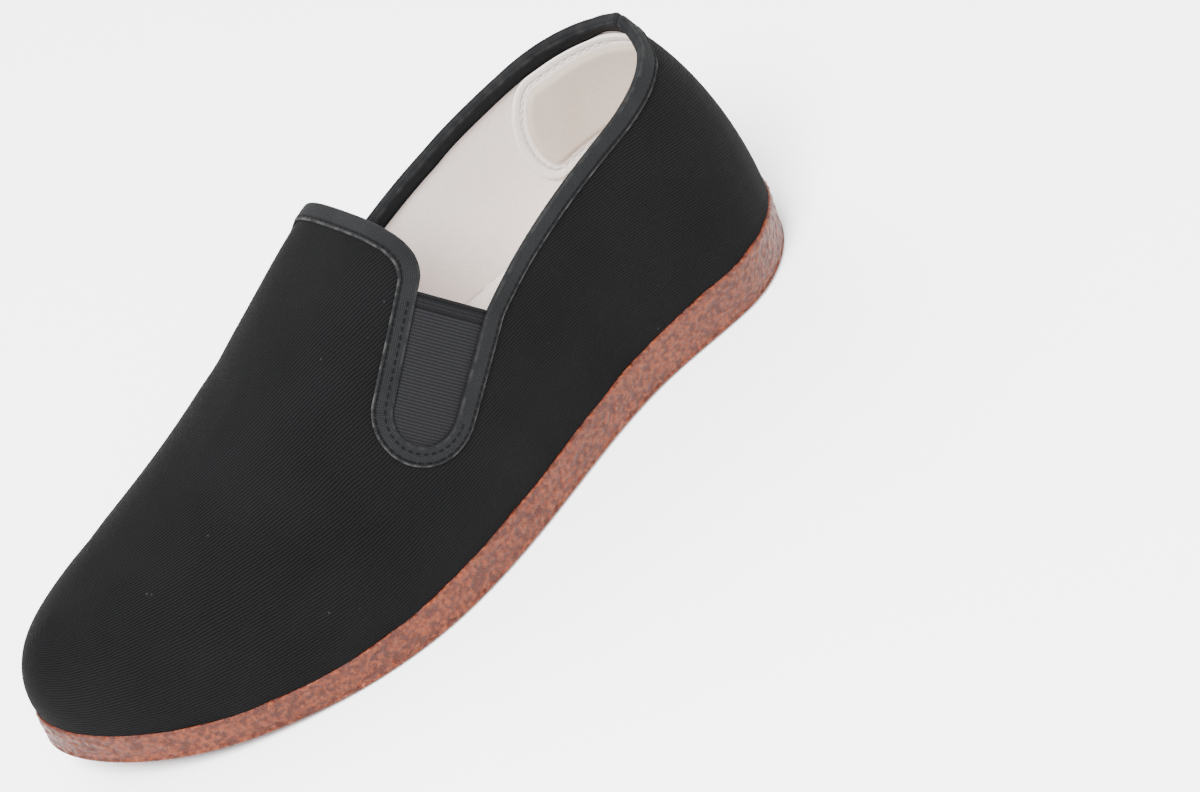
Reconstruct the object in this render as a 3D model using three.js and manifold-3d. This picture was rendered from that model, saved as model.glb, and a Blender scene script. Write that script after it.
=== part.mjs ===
// A slip-on cloth shoe for the left foot, in millimetres: +X points to the toe, +Y to the outer
// side of the foot and +Z up. The origin is on the floor, under the middle of the shoe's box.
//
// A black twill upper stands on a thick rubber sole. Its collar runs from the heel to a broad tongue
// tab, with a U-shaped slot on each side of the tab that holds an elastic gore. One folded tape
// binds the whole edge. Inside are a padded heel patch and an insole.

import * as THREE from "three";
import { mergeVertices } from "three/addons/utils/BufferGeometryUtils.js";
import Module from "manifold-3d";

const wasm = await Module();
wasm.setup();

// Sole
const soleLength = 276; // heel to toe along the floor
const ballWidth = 102; // widest part of the foot, which the section table's widths are shares of
const heelThickness = 18; // sole wall at the heel
const toeSpring = 13; // how far the toe end is off the floor
const springStart = 0.7; // share of the length where the sole starts to leave the floor
const heelRound = 0.13; // length of the heel's round end, as a share of the length
const toeRound = 0.41; // the same for the toe
const heelRoundPower = 2.2; // 2 is an ellipse, more is squarer
const toeRoundPower = 1.95;
const heelFlare = -1; // how far the sole's foot stands out past its top edge at the heel
const toeFlare = 1.2; // the same from the waist to the toe
const soleFootRound = 1; // rounding along the sole's foot
const soleTopRound = 1; // rounding along the sole's top edge
const soleLedge = 0.7; // sole top that shows outside the upper

// Marks under the sole
const ovalLength = 62; // plain oval sunk between heel and ball
const ovalWidth = 23;
const ovalDepth = 0.8;
const ovalShare = 0.47; // where its middle is, as a share of the length
const gateRadius = 9; // round dish at the ball
const gateDepth = 0.6;
const gateShare = 0.74;

// Upper
const wall = 1.5; // twill, stiffening and lining together
const instepHeight = 100; // floor to the ridge of the upper at the tab's edge
const heelLean = 51; // how far the heel's back runs forward up to the crown of the last
const heelLeanPower = 1.1;
const toeRoll = 27; // how far the toe's front runs back up to the crown
const toeRollPower = 0.9;
const collarHeelHeight = 92; // floor to the collar at the heel
const collarPeak = 2; // small point where the tape's ends meet at the heel
const collarPeakLength = 3;

// Tongue tab and gores
const tabPosition = -17.3; // the tab's rear edge on the ridge, from the shoe's middle
const tabLean = 8; // degrees that the rear edge leans forward
const tabSkew = 9; // degrees that its outer end lies further back
const tabCornerRadius = 12;
const cornerRise = 0.66; // the tab's corners lie about this far up the wall
const cornerReach = 0.06; // the slot's edge is taken as straight this far up and down from there
const goreShare = 0.455; // middle of the slot, as a share of the length
const goreRise = 0.47; // and up the wall, as a share of the way from feather line to crown
const goreTilt = 37; // degrees that the slot runs down towards the toe
const slotWidth = 21;
const slotDepth = 45; // mouth to the round bottom
const slotSpread = 3; // how much further forward its front edge lies at the mouth
const goreThickness = 0.9;
const goreDrop = 2; // gore's top edge, below the slot's mouth

// Binding, patch and insole
const tapeWidth = 5.2;
const tapeThickness = 0.5;
const patchThickness = 1.6;
const patchReach = 36; // how far the heel patch comes forward from the heel's back
const patchDepth = 44; // its height under the tape
const insoleThickness = 3;
const gap = 0.3; // clearance between pieces

// Fineness of the facets
const stationsAlong = 36;
const stepsUp = 11;

// One row for each section. along is a share of the sole length. halfWidth, centre and ridge, which
// is how far the crown lies to the outer side, are shares of the ball width. thickness is a share of
// the heel's, and crown of the instep height. taper is the power that draws a section in towards the
// crown. Behind the tab the crown is that of the last.
const sections = [
  { along: 0.0, halfWidth: 0.28, centre: 0.01, ridge: 0.0, thickness: 0.92, crown: 1.18, taper: 0.84 },
  { along: 0.12, halfWidth: 0.316, centre: 0.018, ridge: 0.0, thickness: 1.0, crown: 1.17, taper: 0.72 },
  { along: 0.25, halfWidth: 0.342, centre: -0.008, ridge: 0.0, thickness: 0.9, crown: 1.09, taper: 0.5 },
  { along: 0.4, halfWidth: 0.39, centre: 0.02, ridge: -0.01, thickness: 0.77, crown: 0.957, taper: 0.4 },
  { along: 0.55, halfWidth: 0.466, centre: 0.028, ridge: -0.035, thickness: 0.72, crown: 0.795, taper: 0.66 },
  { along: 0.68, halfWidth: 0.5, centre: 0.0, ridge: -0.055, thickness: 0.63, crown: 0.65, taper: 0.83 },
  { along: 0.8, halfWidth: 0.497, centre: -0.027, ridge: -0.06, thickness: 0.57, crown: 0.572, taper: 0.85 },
  { along: 0.9, halfWidth: 0.485, centre: -0.04, ridge: -0.06, thickness: 0.585, crown: 0.544, taper: 0.81 },
  { along: 1.0, halfWidth: 0.465, centre: -0.072, ridge: -0.06, thickness: 0.63, crown: 0.529, taper: 0.76 },
];

// The collar from the heel to the gore, seen from the side. along is a share of the sole length
// and height a share of the collar's height at the heel.
const collarLine = [
  { along: 0.04, height: 1.0 },
  { along: 0.07, height: 0.974 },
  { along: 0.13, height: 0.948 },
  { along: 0.21, height: 0.907 },
  { along: 0.29, height: 0.845 },
  { along: 0.37, height: 0.765 },
  { along: 0.43, height: 0.69 },
];

// Natural cubic spline through the rows of a table, as a function of its first column.
function column(table, name) {
  const x = table.map((row) => row.along);
  const y = table.map((row) => row[name]);
  const count = x.length;
  const bend = new Array(count).fill(0);
  const sweep = new Array(count).fill(0);
  for (let i = 1; i < count - 1; i++) {
    const ratio = (x[i] - x[i - 1]) / (x[i + 1] - x[i - 1]);
    const pivot = ratio * bend[i - 1] + 2;
    const turn = (y[i + 1] - y[i]) / (x[i + 1] - x[i]) - (y[i] - y[i - 1]) / (x[i] - x[i - 1]);
    bend[i] = (ratio - 1) / pivot;
    sweep[i] = ((6 * turn) / (x[i + 1] - x[i - 1]) - ratio * sweep[i - 1]) / pivot;
  }
  for (let i = count - 2; i > 0; i--) bend[i] = bend[i] * bend[i + 1] + sweep[i];
  return (along) => {
    let i = 1;
    while (i < count - 1 && along > x[i]) i++;
    const span = x[i] - x[i - 1];
    const a = (x[i] - along) / span;
    const b = (along - x[i - 1]) / span;
    const curve = ((a ** 3 - a) * bend[i - 1] + (b ** 3 - b) * bend[i]) * (span ** 2 / 6);
    return a * y[i - 1] + b * y[i] + curve;
  };
}

const halfWidthAt = column(sections, "halfWidth");
const centreAt = column(sections, "centre");
const ridgeAt = column(sections, "ridge");
const thicknessAt = column(sections, "thickness");
const crownAt = column(sections, "crown");
const taperAt = column(sections, "taper");
const collarAt = column(collarLine, "height");

const blend = THREE.MathUtils.lerp;
const radians = THREE.MathUtils.degToRad;
const skew = Math.tan(radians(tabSkew));

// Stations crowd towards both ends, where the outline turns.
const stationShare = (i) => 0.5 - 0.5 * Math.cos((Math.PI * i) / stationsAlong);

function endRound(along) {
  const fromHeel = Math.max(0, 1 - along / heelRound);
  const fromToe = Math.max(0, (along - 1 + toeRound) / toeRound);
  const heel = Math.max(0, 1 - fromHeel ** heelRoundPower) ** (1 / heelRoundPower);
  const toe = Math.max(0, 1 - fromToe ** toeRoundPower) ** (1 / toeRoundPower);
  return heel * toe;
}

const soleFloor = (along) => toeSpring * Math.max(0, (along - springStart) / (1 - springStart)) ** 2;
const soleTop = (along) => soleFloor(along) + heelThickness * thicknessAt(along);
const flareAt = (along) => blend(heelFlare, toeFlare, Math.min(1, along / 0.5));
const featherInset = (along) => flareAt(along) + soleLedge;
const featherHeight = (along) => soleTop(along) + gap;
const crownHeight = (along, grow) => instepHeight * crownAt(along) + grow;
const xOf = (along) => (along - 0.5) * soleLength;

// A point of the sole's plan outline, drawn in by inset.
function soleEdge(along, side, inset, height) {
  const half = Math.max(0, ballWidth * halfWidthAt(along) - inset) * endRound(along);
  const x = (along - 0.5) * (soleLength - 2 * inset);
  return new THREE.Vector3(x, ballWidth * centreAt(along) + side * half, height);
}

// A point of the last's skin. climb goes from 0 at the feather line to 1 at the crown, and grow
// moves the skin outwards.
function skin(along, climb, side, grow) {
  const angle = (climb * Math.PI) / 2;
  const cos = Math.max(0, Math.cos(angle));
  const sin = Math.sin(angle);
  const inset = featherInset(along) - grow;
  const back = heelLean * (1 - cos ** heelLeanPower) + inset;
  const front = toeRoll * (1 - cos ** toeRollPower) + inset;
  const x = blend(-soleLength / 2 + back, soleLength / 2 - front, along);
  const half = (ballWidth * halfWidthAt(along) - inset) * endRound(along);
  const centre = ballWidth * blend(centreAt(along), ridgeAt(along), sin ** 2);
  const width = half * cos ** taperAt(along);
  const height = blend(featherHeight(along), crownHeight(along, grow), sin);
  return new THREE.Vector3(x, centre + side * width, height);
}

// How far up the skin a height lies.
function climbTo(along, height, grow) {
  const rise = (height - featherHeight(along)) / (crownHeight(along, grow) - featherHeight(along));
  return Math.asin(THREE.MathUtils.clamp(rise, 0, 1)) / (Math.PI / 2);
}

// Turns rings of points, each from the heel round the outer side to the toe and back, into one
// closed solid. The first and last rings are capped across.
function stackRings(rings) {
  const positions = [];
  const index = [];
  const count = rings[0].length;
  rings.forEach((ring) => ring.forEach((p) => positions.push(p.x, p.y, p.z)));
  for (let r = 0; r + 1 < rings.length; r++) {
    for (let i = 0; i < count; i++) {
      const a = r * count + i;
      const b = r * count + ((i + 1) % count);
      index.push(a, a + count, b, b, a + count, b + count);
    }
  }
  const half = count / 2;
  for (const [start, flip] of [[0, false], [(rings.length - 1) * count, true]]) {
    for (let i = 0; i < half; i++) {
      const [a, b] = [start + i, start + i + 1];
      const [c, d] = [start + ((count - i) % count), start + count - i - 1];
      const faces = [[a, b, c], [b, d, c]];
      faces.forEach((face) => index.push(...(flip ? face.reverse() : face)));
    }
  }
  const geometry = new THREE.BufferGeometry();
  geometry.setAttribute("position", new THREE.Float32BufferAttribute(positions, 3));
  geometry.setIndex(index);
  return toSolid(geometry);
}

// A geometry's closed mesh as a solid, with shared corners merged and empty triangles left out.
function toSolid(geometry) {
  const bare = geometry.clone();
  bare.deleteAttribute("normal");
  bare.deleteAttribute("uv");
  const merged = mergeVertices(bare, 1e-4);
  const corners = merged.index.array;
  const kept = [];
  for (let i = 0; i < corners.length; i += 3) {
    const [a, b, c] = [corners[i], corners[i + 1], corners[i + 2]];
    if (a !== b && b !== c && c !== a) kept.push(a, b, c);
  }
  const vertProperties = new Float32Array(merged.attributes.position.array);
  const whole = (triVerts) =>
    new wasm.Manifold(new wasm.Mesh({ numProp: 3, vertProperties, triVerts: new Uint32Array(triVerts) }));
  const solid = whole(kept);
  if (solid.volume() > 0) return solid;
  for (let i = 0; i < kept.length; i += 3) [kept[i], kept[i + 1]] = [kept[i + 1], kept[i]];
  return whole(kept);
}

// Walks once round the shoe's outline and gives place(share, side) at each station.
function ring(place) {
  const points = [];
  for (let i = 0; i < stationsAlong; i++) points.push(place(stationShare(i), 1));
  for (let i = stationsAlong; i > 0; i--) points.push(place(stationShare(i), -1));
  return points;
}

// The whole last as a closed solid, grown by grow and carried down by drop under the feather line.
function last(grow, drop) {
  const rings = [];
  if (drop > 0) {
    rings.push(ring((along, side) => skin(along, 0, side, grow).add(new THREE.Vector3(0, 0, -drop))));
  }
  for (let j = 0; j <= stepsUp; j++) {
    rings.push(ring((along, side) => skin(along, j / stepsUp, side, grow)));
  }
  return stackRings(rings);
}

// Side view outline, extruded across the whole shoe, or across the one side that is given. slant
// draws it back towards the outer side, by that much for each millimetre.
function acrossShoe(points, side = 0, slant = 0) {
  const depth = side === 0 ? 2 * ballWidth : ballWidth;
  const shape = new THREE.Shape(points.map(([x, z]) => new THREE.Vector2(x, z)));
  const geometry = new THREE.ExtrudeGeometry(shape, { depth, bevelEnabled: false });
  geometry.rotateX(Math.PI / 2);
  geometry.translate(0, side < 0 ? 0 : ballWidth, 0);
  const corners = geometry.attributes.position;
  for (let i = 0; i < corners.count; i++) {
    corners.setX(i, corners.getX(i) - slant * corners.getY(i));
  }
  return toSolid(geometry);
}

const shareAt = (x) => x / soleLength + 0.5;
const collarBack = skin(0, climbTo(0, collarHeelHeight, 0), 1, 0).x;

// The collar's height at x, with the small point at the heel.
function collarHeight(x) {
  const along = THREE.MathUtils.clamp(shareAt(x), collarLine[0].along, collarLine.at(-1).along);
  const toPeak = Math.max(0, 1 - Math.max(0, x - collarBack) / collarPeakLength);
  return collarHeelHeight * collarAt(along) + collarPeak * toPeak;
}

// The tab's rear edge as a line in the side view.
const tabLine = {
  point: new THREE.Vector2(tabPosition, instepHeight),
  direction: new THREE.Vector2(Math.sin(radians(tabLean)), Math.cos(radians(tabLean))),
};

// All that lies over the collar, which is drawn up by inset.
function overCollar(inset) {
  const steps = 20;
  const top = 2 * collarHeelHeight;
  const [behind, middle, ahead] = [-soleLength, xOf(goreShare), soleLength / 2];
  const points = [[ahead, top], [behind, top], [behind, collarHeight(collarBack) + inset]];
  for (let i = 0; i <= steps; i++) {
    const x = blend(collarBack, middle, (i / steps) ** 1.5);
    points.push([x, collarHeight(x) + inset]);
  }
  points.push([ahead, collarHeight(middle) + inset]);
  return acrossShoe(points);
}

// All that lies behind the tab's edge, which is drawn back by inset, and under its corners all
// behind the middle of the slots.
function behindTab(inset) {
  const [behind, top] = [-soleLength, 2 * instepHeight];
  const middle = skin(goreShare, goreRise, 1, 0);
  const mouth = new THREE.Vector3(0, -slotDepth / 2, 0).applyMatrix4(slotFrame(1)).z;
  const onTab = (z) => {
    const run = (z - tabLine.point.y) / tabLine.direction.y;
    return [tabLine.point.x + tabLine.direction.x * run - inset / tabLine.direction.y, z];
  };
  const points = [[behind, 0], [middle.x, 0], [middle.x, mouth], onTab(mouth), onTab(top), [behind, top]];
  return acrossShoe(points, 0, skew);
}

// Frame of the slot on one side, with its origin on the skin: x runs across the slot towards the
// toe, y down the slot and z out of the wall.
function slotFrame(side) {
  const step = 0.01;
  const origin = skin(goreShare, goreRise, side, 0);
  const along = skin(goreShare + step, goreRise, side, 0).sub(origin);
  const up = skin(goreShare, goreRise + step, side, 0).sub(origin);
  const out = new THREE.Vector3().crossVectors(up, along).multiplyScalar(side).normalize();
  const level = new THREE.Vector3(-out.y, out.x, 0).multiplyScalar(-side).normalize();
  const down = new THREE.Vector3().crossVectors(out, level).multiplyScalar(side).normalize();
  const tilt = radians(goreTilt);
  const deep = down.clone().multiplyScalar(Math.sin(tilt)).addScaledVector(level, Math.cos(tilt));
  const across = level.clone().multiplyScalar(Math.sin(tilt)).addScaledVector(down, -Math.cos(tilt));
  return new THREE.Matrix4().makeBasis(across, deep, out).setPosition(origin);
}

const slotStraight = (slotDepth - slotWidth) / 2;

// How far ahead of its middle line the slot's front edge lies, at a distance down the slot.
function slotFront(inset, down) {
  const spread = slotSpread / (slotStraight + slotDepth / 2);
  return slotWidth / 2 - inset + spread * (slotStraight - down);
}

// The slot on one side as a straight cut through the wall, drawn in by inset. It starts at top,
// which is measured down the slot from its middle.
function slotCut(side, inset, top) {
  const half = slotWidth / 2 - inset;
  const shape = new THREE.Shape();
  shape.moveTo(slotFront(inset, top), top);
  shape.lineTo(half, slotStraight);
  shape.absarc(0, slotStraight, half, 0, Math.PI, false);
  shape.lineTo(-half, top);
  const depth = slotDepth;
  const options = { depth, bevelEnabled: false, curveSegments: 10 };
  const geometry = new THREE.ExtrudeGeometry(shape, options);
  geometry.translate(0, 0, -depth / 2);
  geometry.applyMatrix4(slotFrame(side));
  return toSolid(geometry);
}

// Where the slot's front edge, drawn in by inset, crosses the skin at climb. It is given in the side
// view, with the skew taken out.
function slotEdge(side, climb, inset) {
  const toSlot = slotFrame(side).invert();
  let [low, high] = [goreShare - 0.2, goreShare + 0.2];
  for (let i = 0; i < 30; i++) {
    const middle = (low + high) / 2;
    const place = skin(middle, climb, side, 0).applyMatrix4(toSlot);
    if (place.x < slotFront(inset, place.y)) low = middle;
    else high = middle;
  }
  const point = skin(low, climb, side, 0);
  return new THREE.Vector2(point.x + skew * point.y, point.z);
}

// Rounds the tab's corner on one side, between the tab's edge and the slot's front edge. The round
// keeps its middle and grows by inset, which the slope of the wall changes at the slot's end. The
// cut reaches out past the corner, into the open.
function cornerCut(side, inset) {
  const slotPoint = slotEdge(side, cornerRise + cornerReach, 0);
  const slotRun = slotEdge(side, cornerRise - cornerReach, 0).sub(slotPoint).normalize();
  const slotShift = Math.abs(slotEdge(side, cornerRise + cornerReach, 1).sub(slotPoint).cross(slotRun));
  const tabRun = tabLine.direction;
  const between = slotPoint.clone().sub(tabLine.point);
  const along = between.cross(slotRun) / tabRun.cross(slotRun);
  const corner = tabLine.point.clone().addScaledVector(tabRun, along);
  const opening = Math.acos(tabRun.dot(slotRun));
  const middle = tabRun.clone().add(slotRun).normalize();
  const toCorner = tabCornerRadius / Math.sin(opening / 2);
  const centre = corner.clone().addScaledVector(middle, toCorner);
  const turn = Math.PI - opening;
  const from = middle.clone().negate().angle() - turn / 2;
  const onArc = (share, radius) => {
    const angle = from + turn * share;
    return [centre.x + radius * Math.cos(angle), centre.y + radius * Math.sin(angle)];
  };
  const steps = 8;
  const beyond = toCorner + 2 * wall;
  const points = [onArc(1, beyond), onArc(0.5, beyond), onArc(0, beyond)];
  for (let i = 0; i <= steps; i++) {
    points.push(onArc(i / steps, tabCornerRadius + inset * blend(1, slotShift, i / steps)));
  }
  return acrossShoe(points, side, skew);
}

// Collar, tab edge and both slots as one cut, drawn in by inset.
function openingCut(inset) {
  let cut = overCollar(inset).intersect(behindTab(inset));
  for (const side of [1, -1]) {
    cut = cut.add(slotCut(side, inset, -slotDepth)).add(cornerCut(side, inset));
  }
  return cut;
}

const shellBetween = (outer, inner) => last(outer, 0).subtract(last(inner, wall));

function makeUpper() {
  return shellBetween(0, -wall).subtract(openingCut(0));
}

function makeBinding() {
  const over = gap + tapeThickness;
  const band = openingCut(-tapeWidth).subtract(openingCut(over));
  const around = shellBetween(over, -wall - over).intersect(band);
  const core = shellBetween(gap, -wall - gap).subtract(openingCut(gap));
  return around.subtract(core);
}

function makeGore(side) {
  const seat = gap + tapeThickness + gap;
  const middle = (wall - goreThickness) / 2;
  const sheet = shellBetween(-middle, -middle - goreThickness);
  return sheet.intersect(slotCut(side, seat, goreDrop - slotDepth / 2));
}

function makeHeelPatch() {
  const outside = -wall - gap;
  const start = -soleLength / 2;
  const top = (x) => collarHeight(Math.max(x, collarBack + collarPeakLength)) - tapeWidth - 2 * gap;
  const front = collarBack + patchReach;
  const steps = 8;
  const points = [[start, top(start) - patchDepth], [start, top(start)]];
  for (let i = 0; i <= steps; i++) {
    const angle = (Math.PI * i) / steps;
    const x = front - patchDepth / 4 + (patchDepth / 4) * Math.sin(angle);
    const middle = top(x) - patchDepth / 2;
    points.push([x, middle + (patchDepth / 2) * Math.cos(angle)]);
  }
  return shellBetween(outside, outside - patchThickness).intersect(acrossShoe(points));
}

function makeSole() {
  const ringAt = (grow, height) => ring((along, side) => soleEdge(along, side, grow(along), height(along)));
  const body = stackRings([
    ringAt(() => soleFootRound, soleFloor),
    ringAt(() => 0, (along) => soleFloor(along) + soleFootRound),
    ringAt(flareAt, (along) => soleTop(along) - soleTopRound),
    ringAt(featherInset, soleTop),
  ]);
  return body.subtract(ovalMark()).subtract(gateMark());
}

// A shallow mark under the sole, from a plan outline.
function mark(shape, share, depth) {
  const below = 10;
  const options = { depth: depth + below, bevelEnabled: false, curveSegments: 14 };
  const geometry = new THREE.ExtrudeGeometry(shape, options);
  geometry.translate(xOf(share), ballWidth * centreAt(share), soleFloor(share) - below);
  return toSolid(geometry);
}

function ovalMark() {
  const straight = (ovalLength - ovalWidth) / 2;
  const shape = new THREE.Shape();
  shape.absarc(straight, 0, ovalWidth / 2, -Math.PI / 2, Math.PI / 2, false);
  shape.absarc(-straight, 0, ovalWidth / 2, Math.PI / 2, (3 * Math.PI) / 2, false);
  return mark(shape, ovalShare, ovalDepth);
}

function gateMark() {
  const shape = new THREE.Shape();
  shape.absarc(0, 0, gateRadius, 0, 2 * Math.PI, false);
  return mark(shape, gateShare, gateDepth);
}

// The insole follows the inside of the wall from the sole's top up to its own thickness.
function makeInsole() {
  const grow = -wall - gap;
  const climb = (along) => climbTo(along, featherHeight(along) + insoleThickness, grow);
  return stackRings([
    ring((along, side) => skin(along, 0, side, grow)),
    ring((along, side) => skin(along, climb(along), side, grow)),
  ]);
}

function toMesh(solid, name, look) {
  const mesh = solid.getMesh();
  const geometry = new THREE.BufferGeometry();
  geometry.setAttribute("position", new THREE.Float32BufferAttribute(mesh.vertProperties, 3));
  geometry.setIndex(Array.from(mesh.triVerts));
  geometry.computeVertexNormals();
  const node = new THREE.Mesh(geometry, look);
  node.name = name;
  return node;
}

const twill = new THREE.MeshStandardMaterial({ color: 0x1b1b1d, roughness: 0.9, metalness: 0 });
const tape = new THREE.MeshStandardMaterial({ color: 0x26272a, roughness: 0.85, metalness: 0 });
const elastic = new THREE.MeshStandardMaterial({ color: 0x2b2c2f, roughness: 0.8, metalness: 0 });
const rubber = new THREE.MeshStandardMaterial({ color: 0xb0643f, roughness: 0.5, metalness: 0 });
const cotton = new THREE.MeshStandardMaterial({ color: 0xe6dedc, roughness: 0.95, metalness: 0 });

const pieces = [
  [makeSole(), "sole", rubber],
  [makeUpper(), "upper", twill],
  [makeBinding(), "edge_binding", tape],
  [makeGore(1), "gore_outer", elastic],
  [makeGore(-1), "gore_inner", elastic],
  [makeHeelPatch(), "heel_patch", cotton],
  [makeInsole(), "insole", cotton],
];

// The sole is the shoe's longest and widest piece, so its middle is the shoe's.
const { min, max } = pieces[0][0].boundingBox();
const toOrigin = [-(min[0] + max[0]) / 2, -(min[1] + max[1]) / 2, -min[2]];

const shoe = new THREE.Group();
shoe.name = "cloth_shoe";
pieces.forEach(([solid, name, look]) => shoe.add(toMesh(solid.translate(toOrigin), name, look)));

export default shoe;
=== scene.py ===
"""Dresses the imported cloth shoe: twill upper, bound edge, elastic gores, lining and gum-rubber sole.

Every length of the shoe is in millimetres and is turned into metres where a mesh is made. The studio's
places are in metres. The shoe's surface is worked out from the same sizes as its solids, so each piece
lies where its solid lies.
"""

import logging
import math
from dataclasses import dataclass
from enum import Enum
from typing import Any, Callable, Sequence, Union

import bpy
import numpy as np
from mathutils import Euler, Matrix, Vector, noise


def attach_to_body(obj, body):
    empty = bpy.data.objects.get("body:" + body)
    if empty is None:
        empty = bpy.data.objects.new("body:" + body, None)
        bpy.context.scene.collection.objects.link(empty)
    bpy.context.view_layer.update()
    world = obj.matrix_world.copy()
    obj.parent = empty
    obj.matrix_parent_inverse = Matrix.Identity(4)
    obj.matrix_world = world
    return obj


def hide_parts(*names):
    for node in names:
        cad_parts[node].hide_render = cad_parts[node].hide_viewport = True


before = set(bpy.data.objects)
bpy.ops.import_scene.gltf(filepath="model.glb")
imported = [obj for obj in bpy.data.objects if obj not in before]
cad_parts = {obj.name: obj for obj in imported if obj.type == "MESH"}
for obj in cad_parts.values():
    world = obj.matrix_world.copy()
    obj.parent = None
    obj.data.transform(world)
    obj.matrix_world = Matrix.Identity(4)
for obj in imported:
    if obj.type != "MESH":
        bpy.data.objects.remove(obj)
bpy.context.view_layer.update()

LOG = logging.getLogger("cloth_shoe")
# Metres in a millimetre, the seam gap over the sole, and how near points are when they are welded.
MM = 0.001
GAP = 0.3
WELD = 2e-3
# The step over which slopes are measured, and the least length of a direction.
NUDGE = 1e-4
TINY = 1e-12
QUARTER = math.pi / 2
Array = np.ndarray
Colour = tuple[float, float, float, float]
Number = Union[float, "Signal"]


@dataclass(frozen=True)
class Section:
    """One section of the last. Its columns are those of the part's own table."""

    along: float
    half_width: float
    centre: float
    ridge: float
    thickness: float
    crown: float
    taper: float


@dataclass(frozen=True)
class CollarPoint:
    """One point of the collar, as shares of the sole's length and the collar's height."""

    along: float
    height: float


@dataclass(frozen=True)
class Crease:
    """A soft trough or ridge in the cloth, from one point of the last to another.

    The first number of each end is a share of the sole's length and the second is the angle up the
    wall in degrees, from 0 at the crown to 90 at the feather line, negative on the inner side.
    """

    start: tuple[float, float]
    end: tuple[float, float]
    width: float
    rise: float


SECTIONS = (
    Section(0.0, 0.28, 0.01, 0.0, 0.92, 1.18, 0.84),
    Section(0.12, 0.316, 0.018, 0.0, 1.0, 1.17, 0.72),
    Section(0.25, 0.342, -0.008, 0.0, 0.9, 1.09, 0.5),
    Section(0.4, 0.39, 0.02, -0.01, 0.77, 0.957, 0.4),
    Section(0.55, 0.466, 0.028, -0.035, 0.72, 0.795, 0.66),
    Section(0.68, 0.5, 0.0, -0.055, 0.63, 0.65, 0.83),
    Section(0.8, 0.497, -0.027, -0.06, 0.57, 0.572, 0.85),
    Section(0.9, 0.485, -0.04, -0.06, 0.585, 0.544, 0.81),
    Section(1.0, 0.465, -0.072, -0.06, 0.63, 0.529, 0.76),
)

COLLAR = (
    CollarPoint(0.04, 1.0),
    CollarPoint(0.07, 0.974),
    CollarPoint(0.13, 0.948),
    CollarPoint(0.21, 0.907),
    CollarPoint(0.29, 0.845),
    CollarPoint(0.37, 0.765),
    CollarPoint(0.43, 0.69),
)

CREASES = (
    Crease((0.60, -34), (0.64, 30), 7.0, -0.35),
    Crease((0.66, 12), (0.70, 62), 6.0, -0.3),
    Crease((0.55, 66), (0.63, 78), 5.0, -0.4),
    Crease((0.52, -60), (0.60, -76), 5.0, -0.4),
    Crease((0.30, 68), (0.40, 80), 7.0, -0.45),
    Crease((0.26, -66), (0.38, -80), 7.0, -0.45),
    Crease((0.10, 62), (0.16, 82), 5.0, -0.35),
    Crease((0.09, -60), (0.15, -82), 5.0, -0.35),
    Crease((0.86, -40), (0.90, -70), 6.0, -0.25),
    Crease((0.84, 44), (0.88, 74), 6.0, -0.25),
    Crease((0.47, -16), (0.60, -10), 9.0, 0.25),
)


class Column:
    """Natural cubic spline through one column of a table."""

    def __init__(self, rows: Sequence[Any], name: str) -> None:
        """Works out the bend at each row.

        Args:
            rows: Table rows with a field named along.
            name: Field that holds the values.
        """
        self.at = np.array([row.along for row in rows])
        self.value = np.array([getattr(row, name) for row in rows])
        count = len(rows)
        system = np.eye(count)
        right = np.zeros(count)
        step = np.diff(self.at)
        slope = np.diff(self.value) / step
        for i in range(1, count - 1):
            system[i, i - 1 : i + 2] = [step[i - 1], 2 * (step[i - 1] + step[i]), step[i]]
            right[i] = 6 * (slope[i] - slope[i - 1])
        self.bend = np.linalg.solve(system, right)

    def __call__(self, along: Array) -> Array:
        """Value of the spline.

        Args:
            along: Shares of the length.

        Returns:
            One value for each share.
        """
        i = np.clip(np.searchsorted(self.at, along), 1, len(self.at) - 1)
        span = self.at[i] - self.at[i - 1]
        a = (self.at[i] - along) / span
        b = (along - self.at[i - 1]) / span
        curve = ((a**3 - a) * self.bend[i - 1] + (b**3 - b) * self.bend[i]) * span**2 / 6
        return a * self.value[i - 1] + b * self.value[i] + curve


def normalised(vectors: Array) -> Array:
    """Vectors of length 1 along the given ones."""
    return vectors / np.maximum(np.linalg.norm(vectors, axis=-1, keepdims=True), TINY)


def slopes(measure: Callable[[Array, Array], Array], theta: Array, psi: Array) -> tuple[Array, Array]:
    """How fast a measure changes over the last.

    Args:
        measure: Gives the measured values at theta and psi.
        theta: Places along the shoe.
        psi: Angles round the girth.

    Returns:
        The change for a whole step of theta and of psi.
    """
    by_theta = (measure(theta + NUDGE, psi) - measure(theta - NUDGE, psi)) / (2 * NUDGE)
    by_psi = (measure(theta, psi + NUDGE) - measure(theta, psi - NUDGE)) / (2 * NUDGE)
    return by_theta, by_psi


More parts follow.
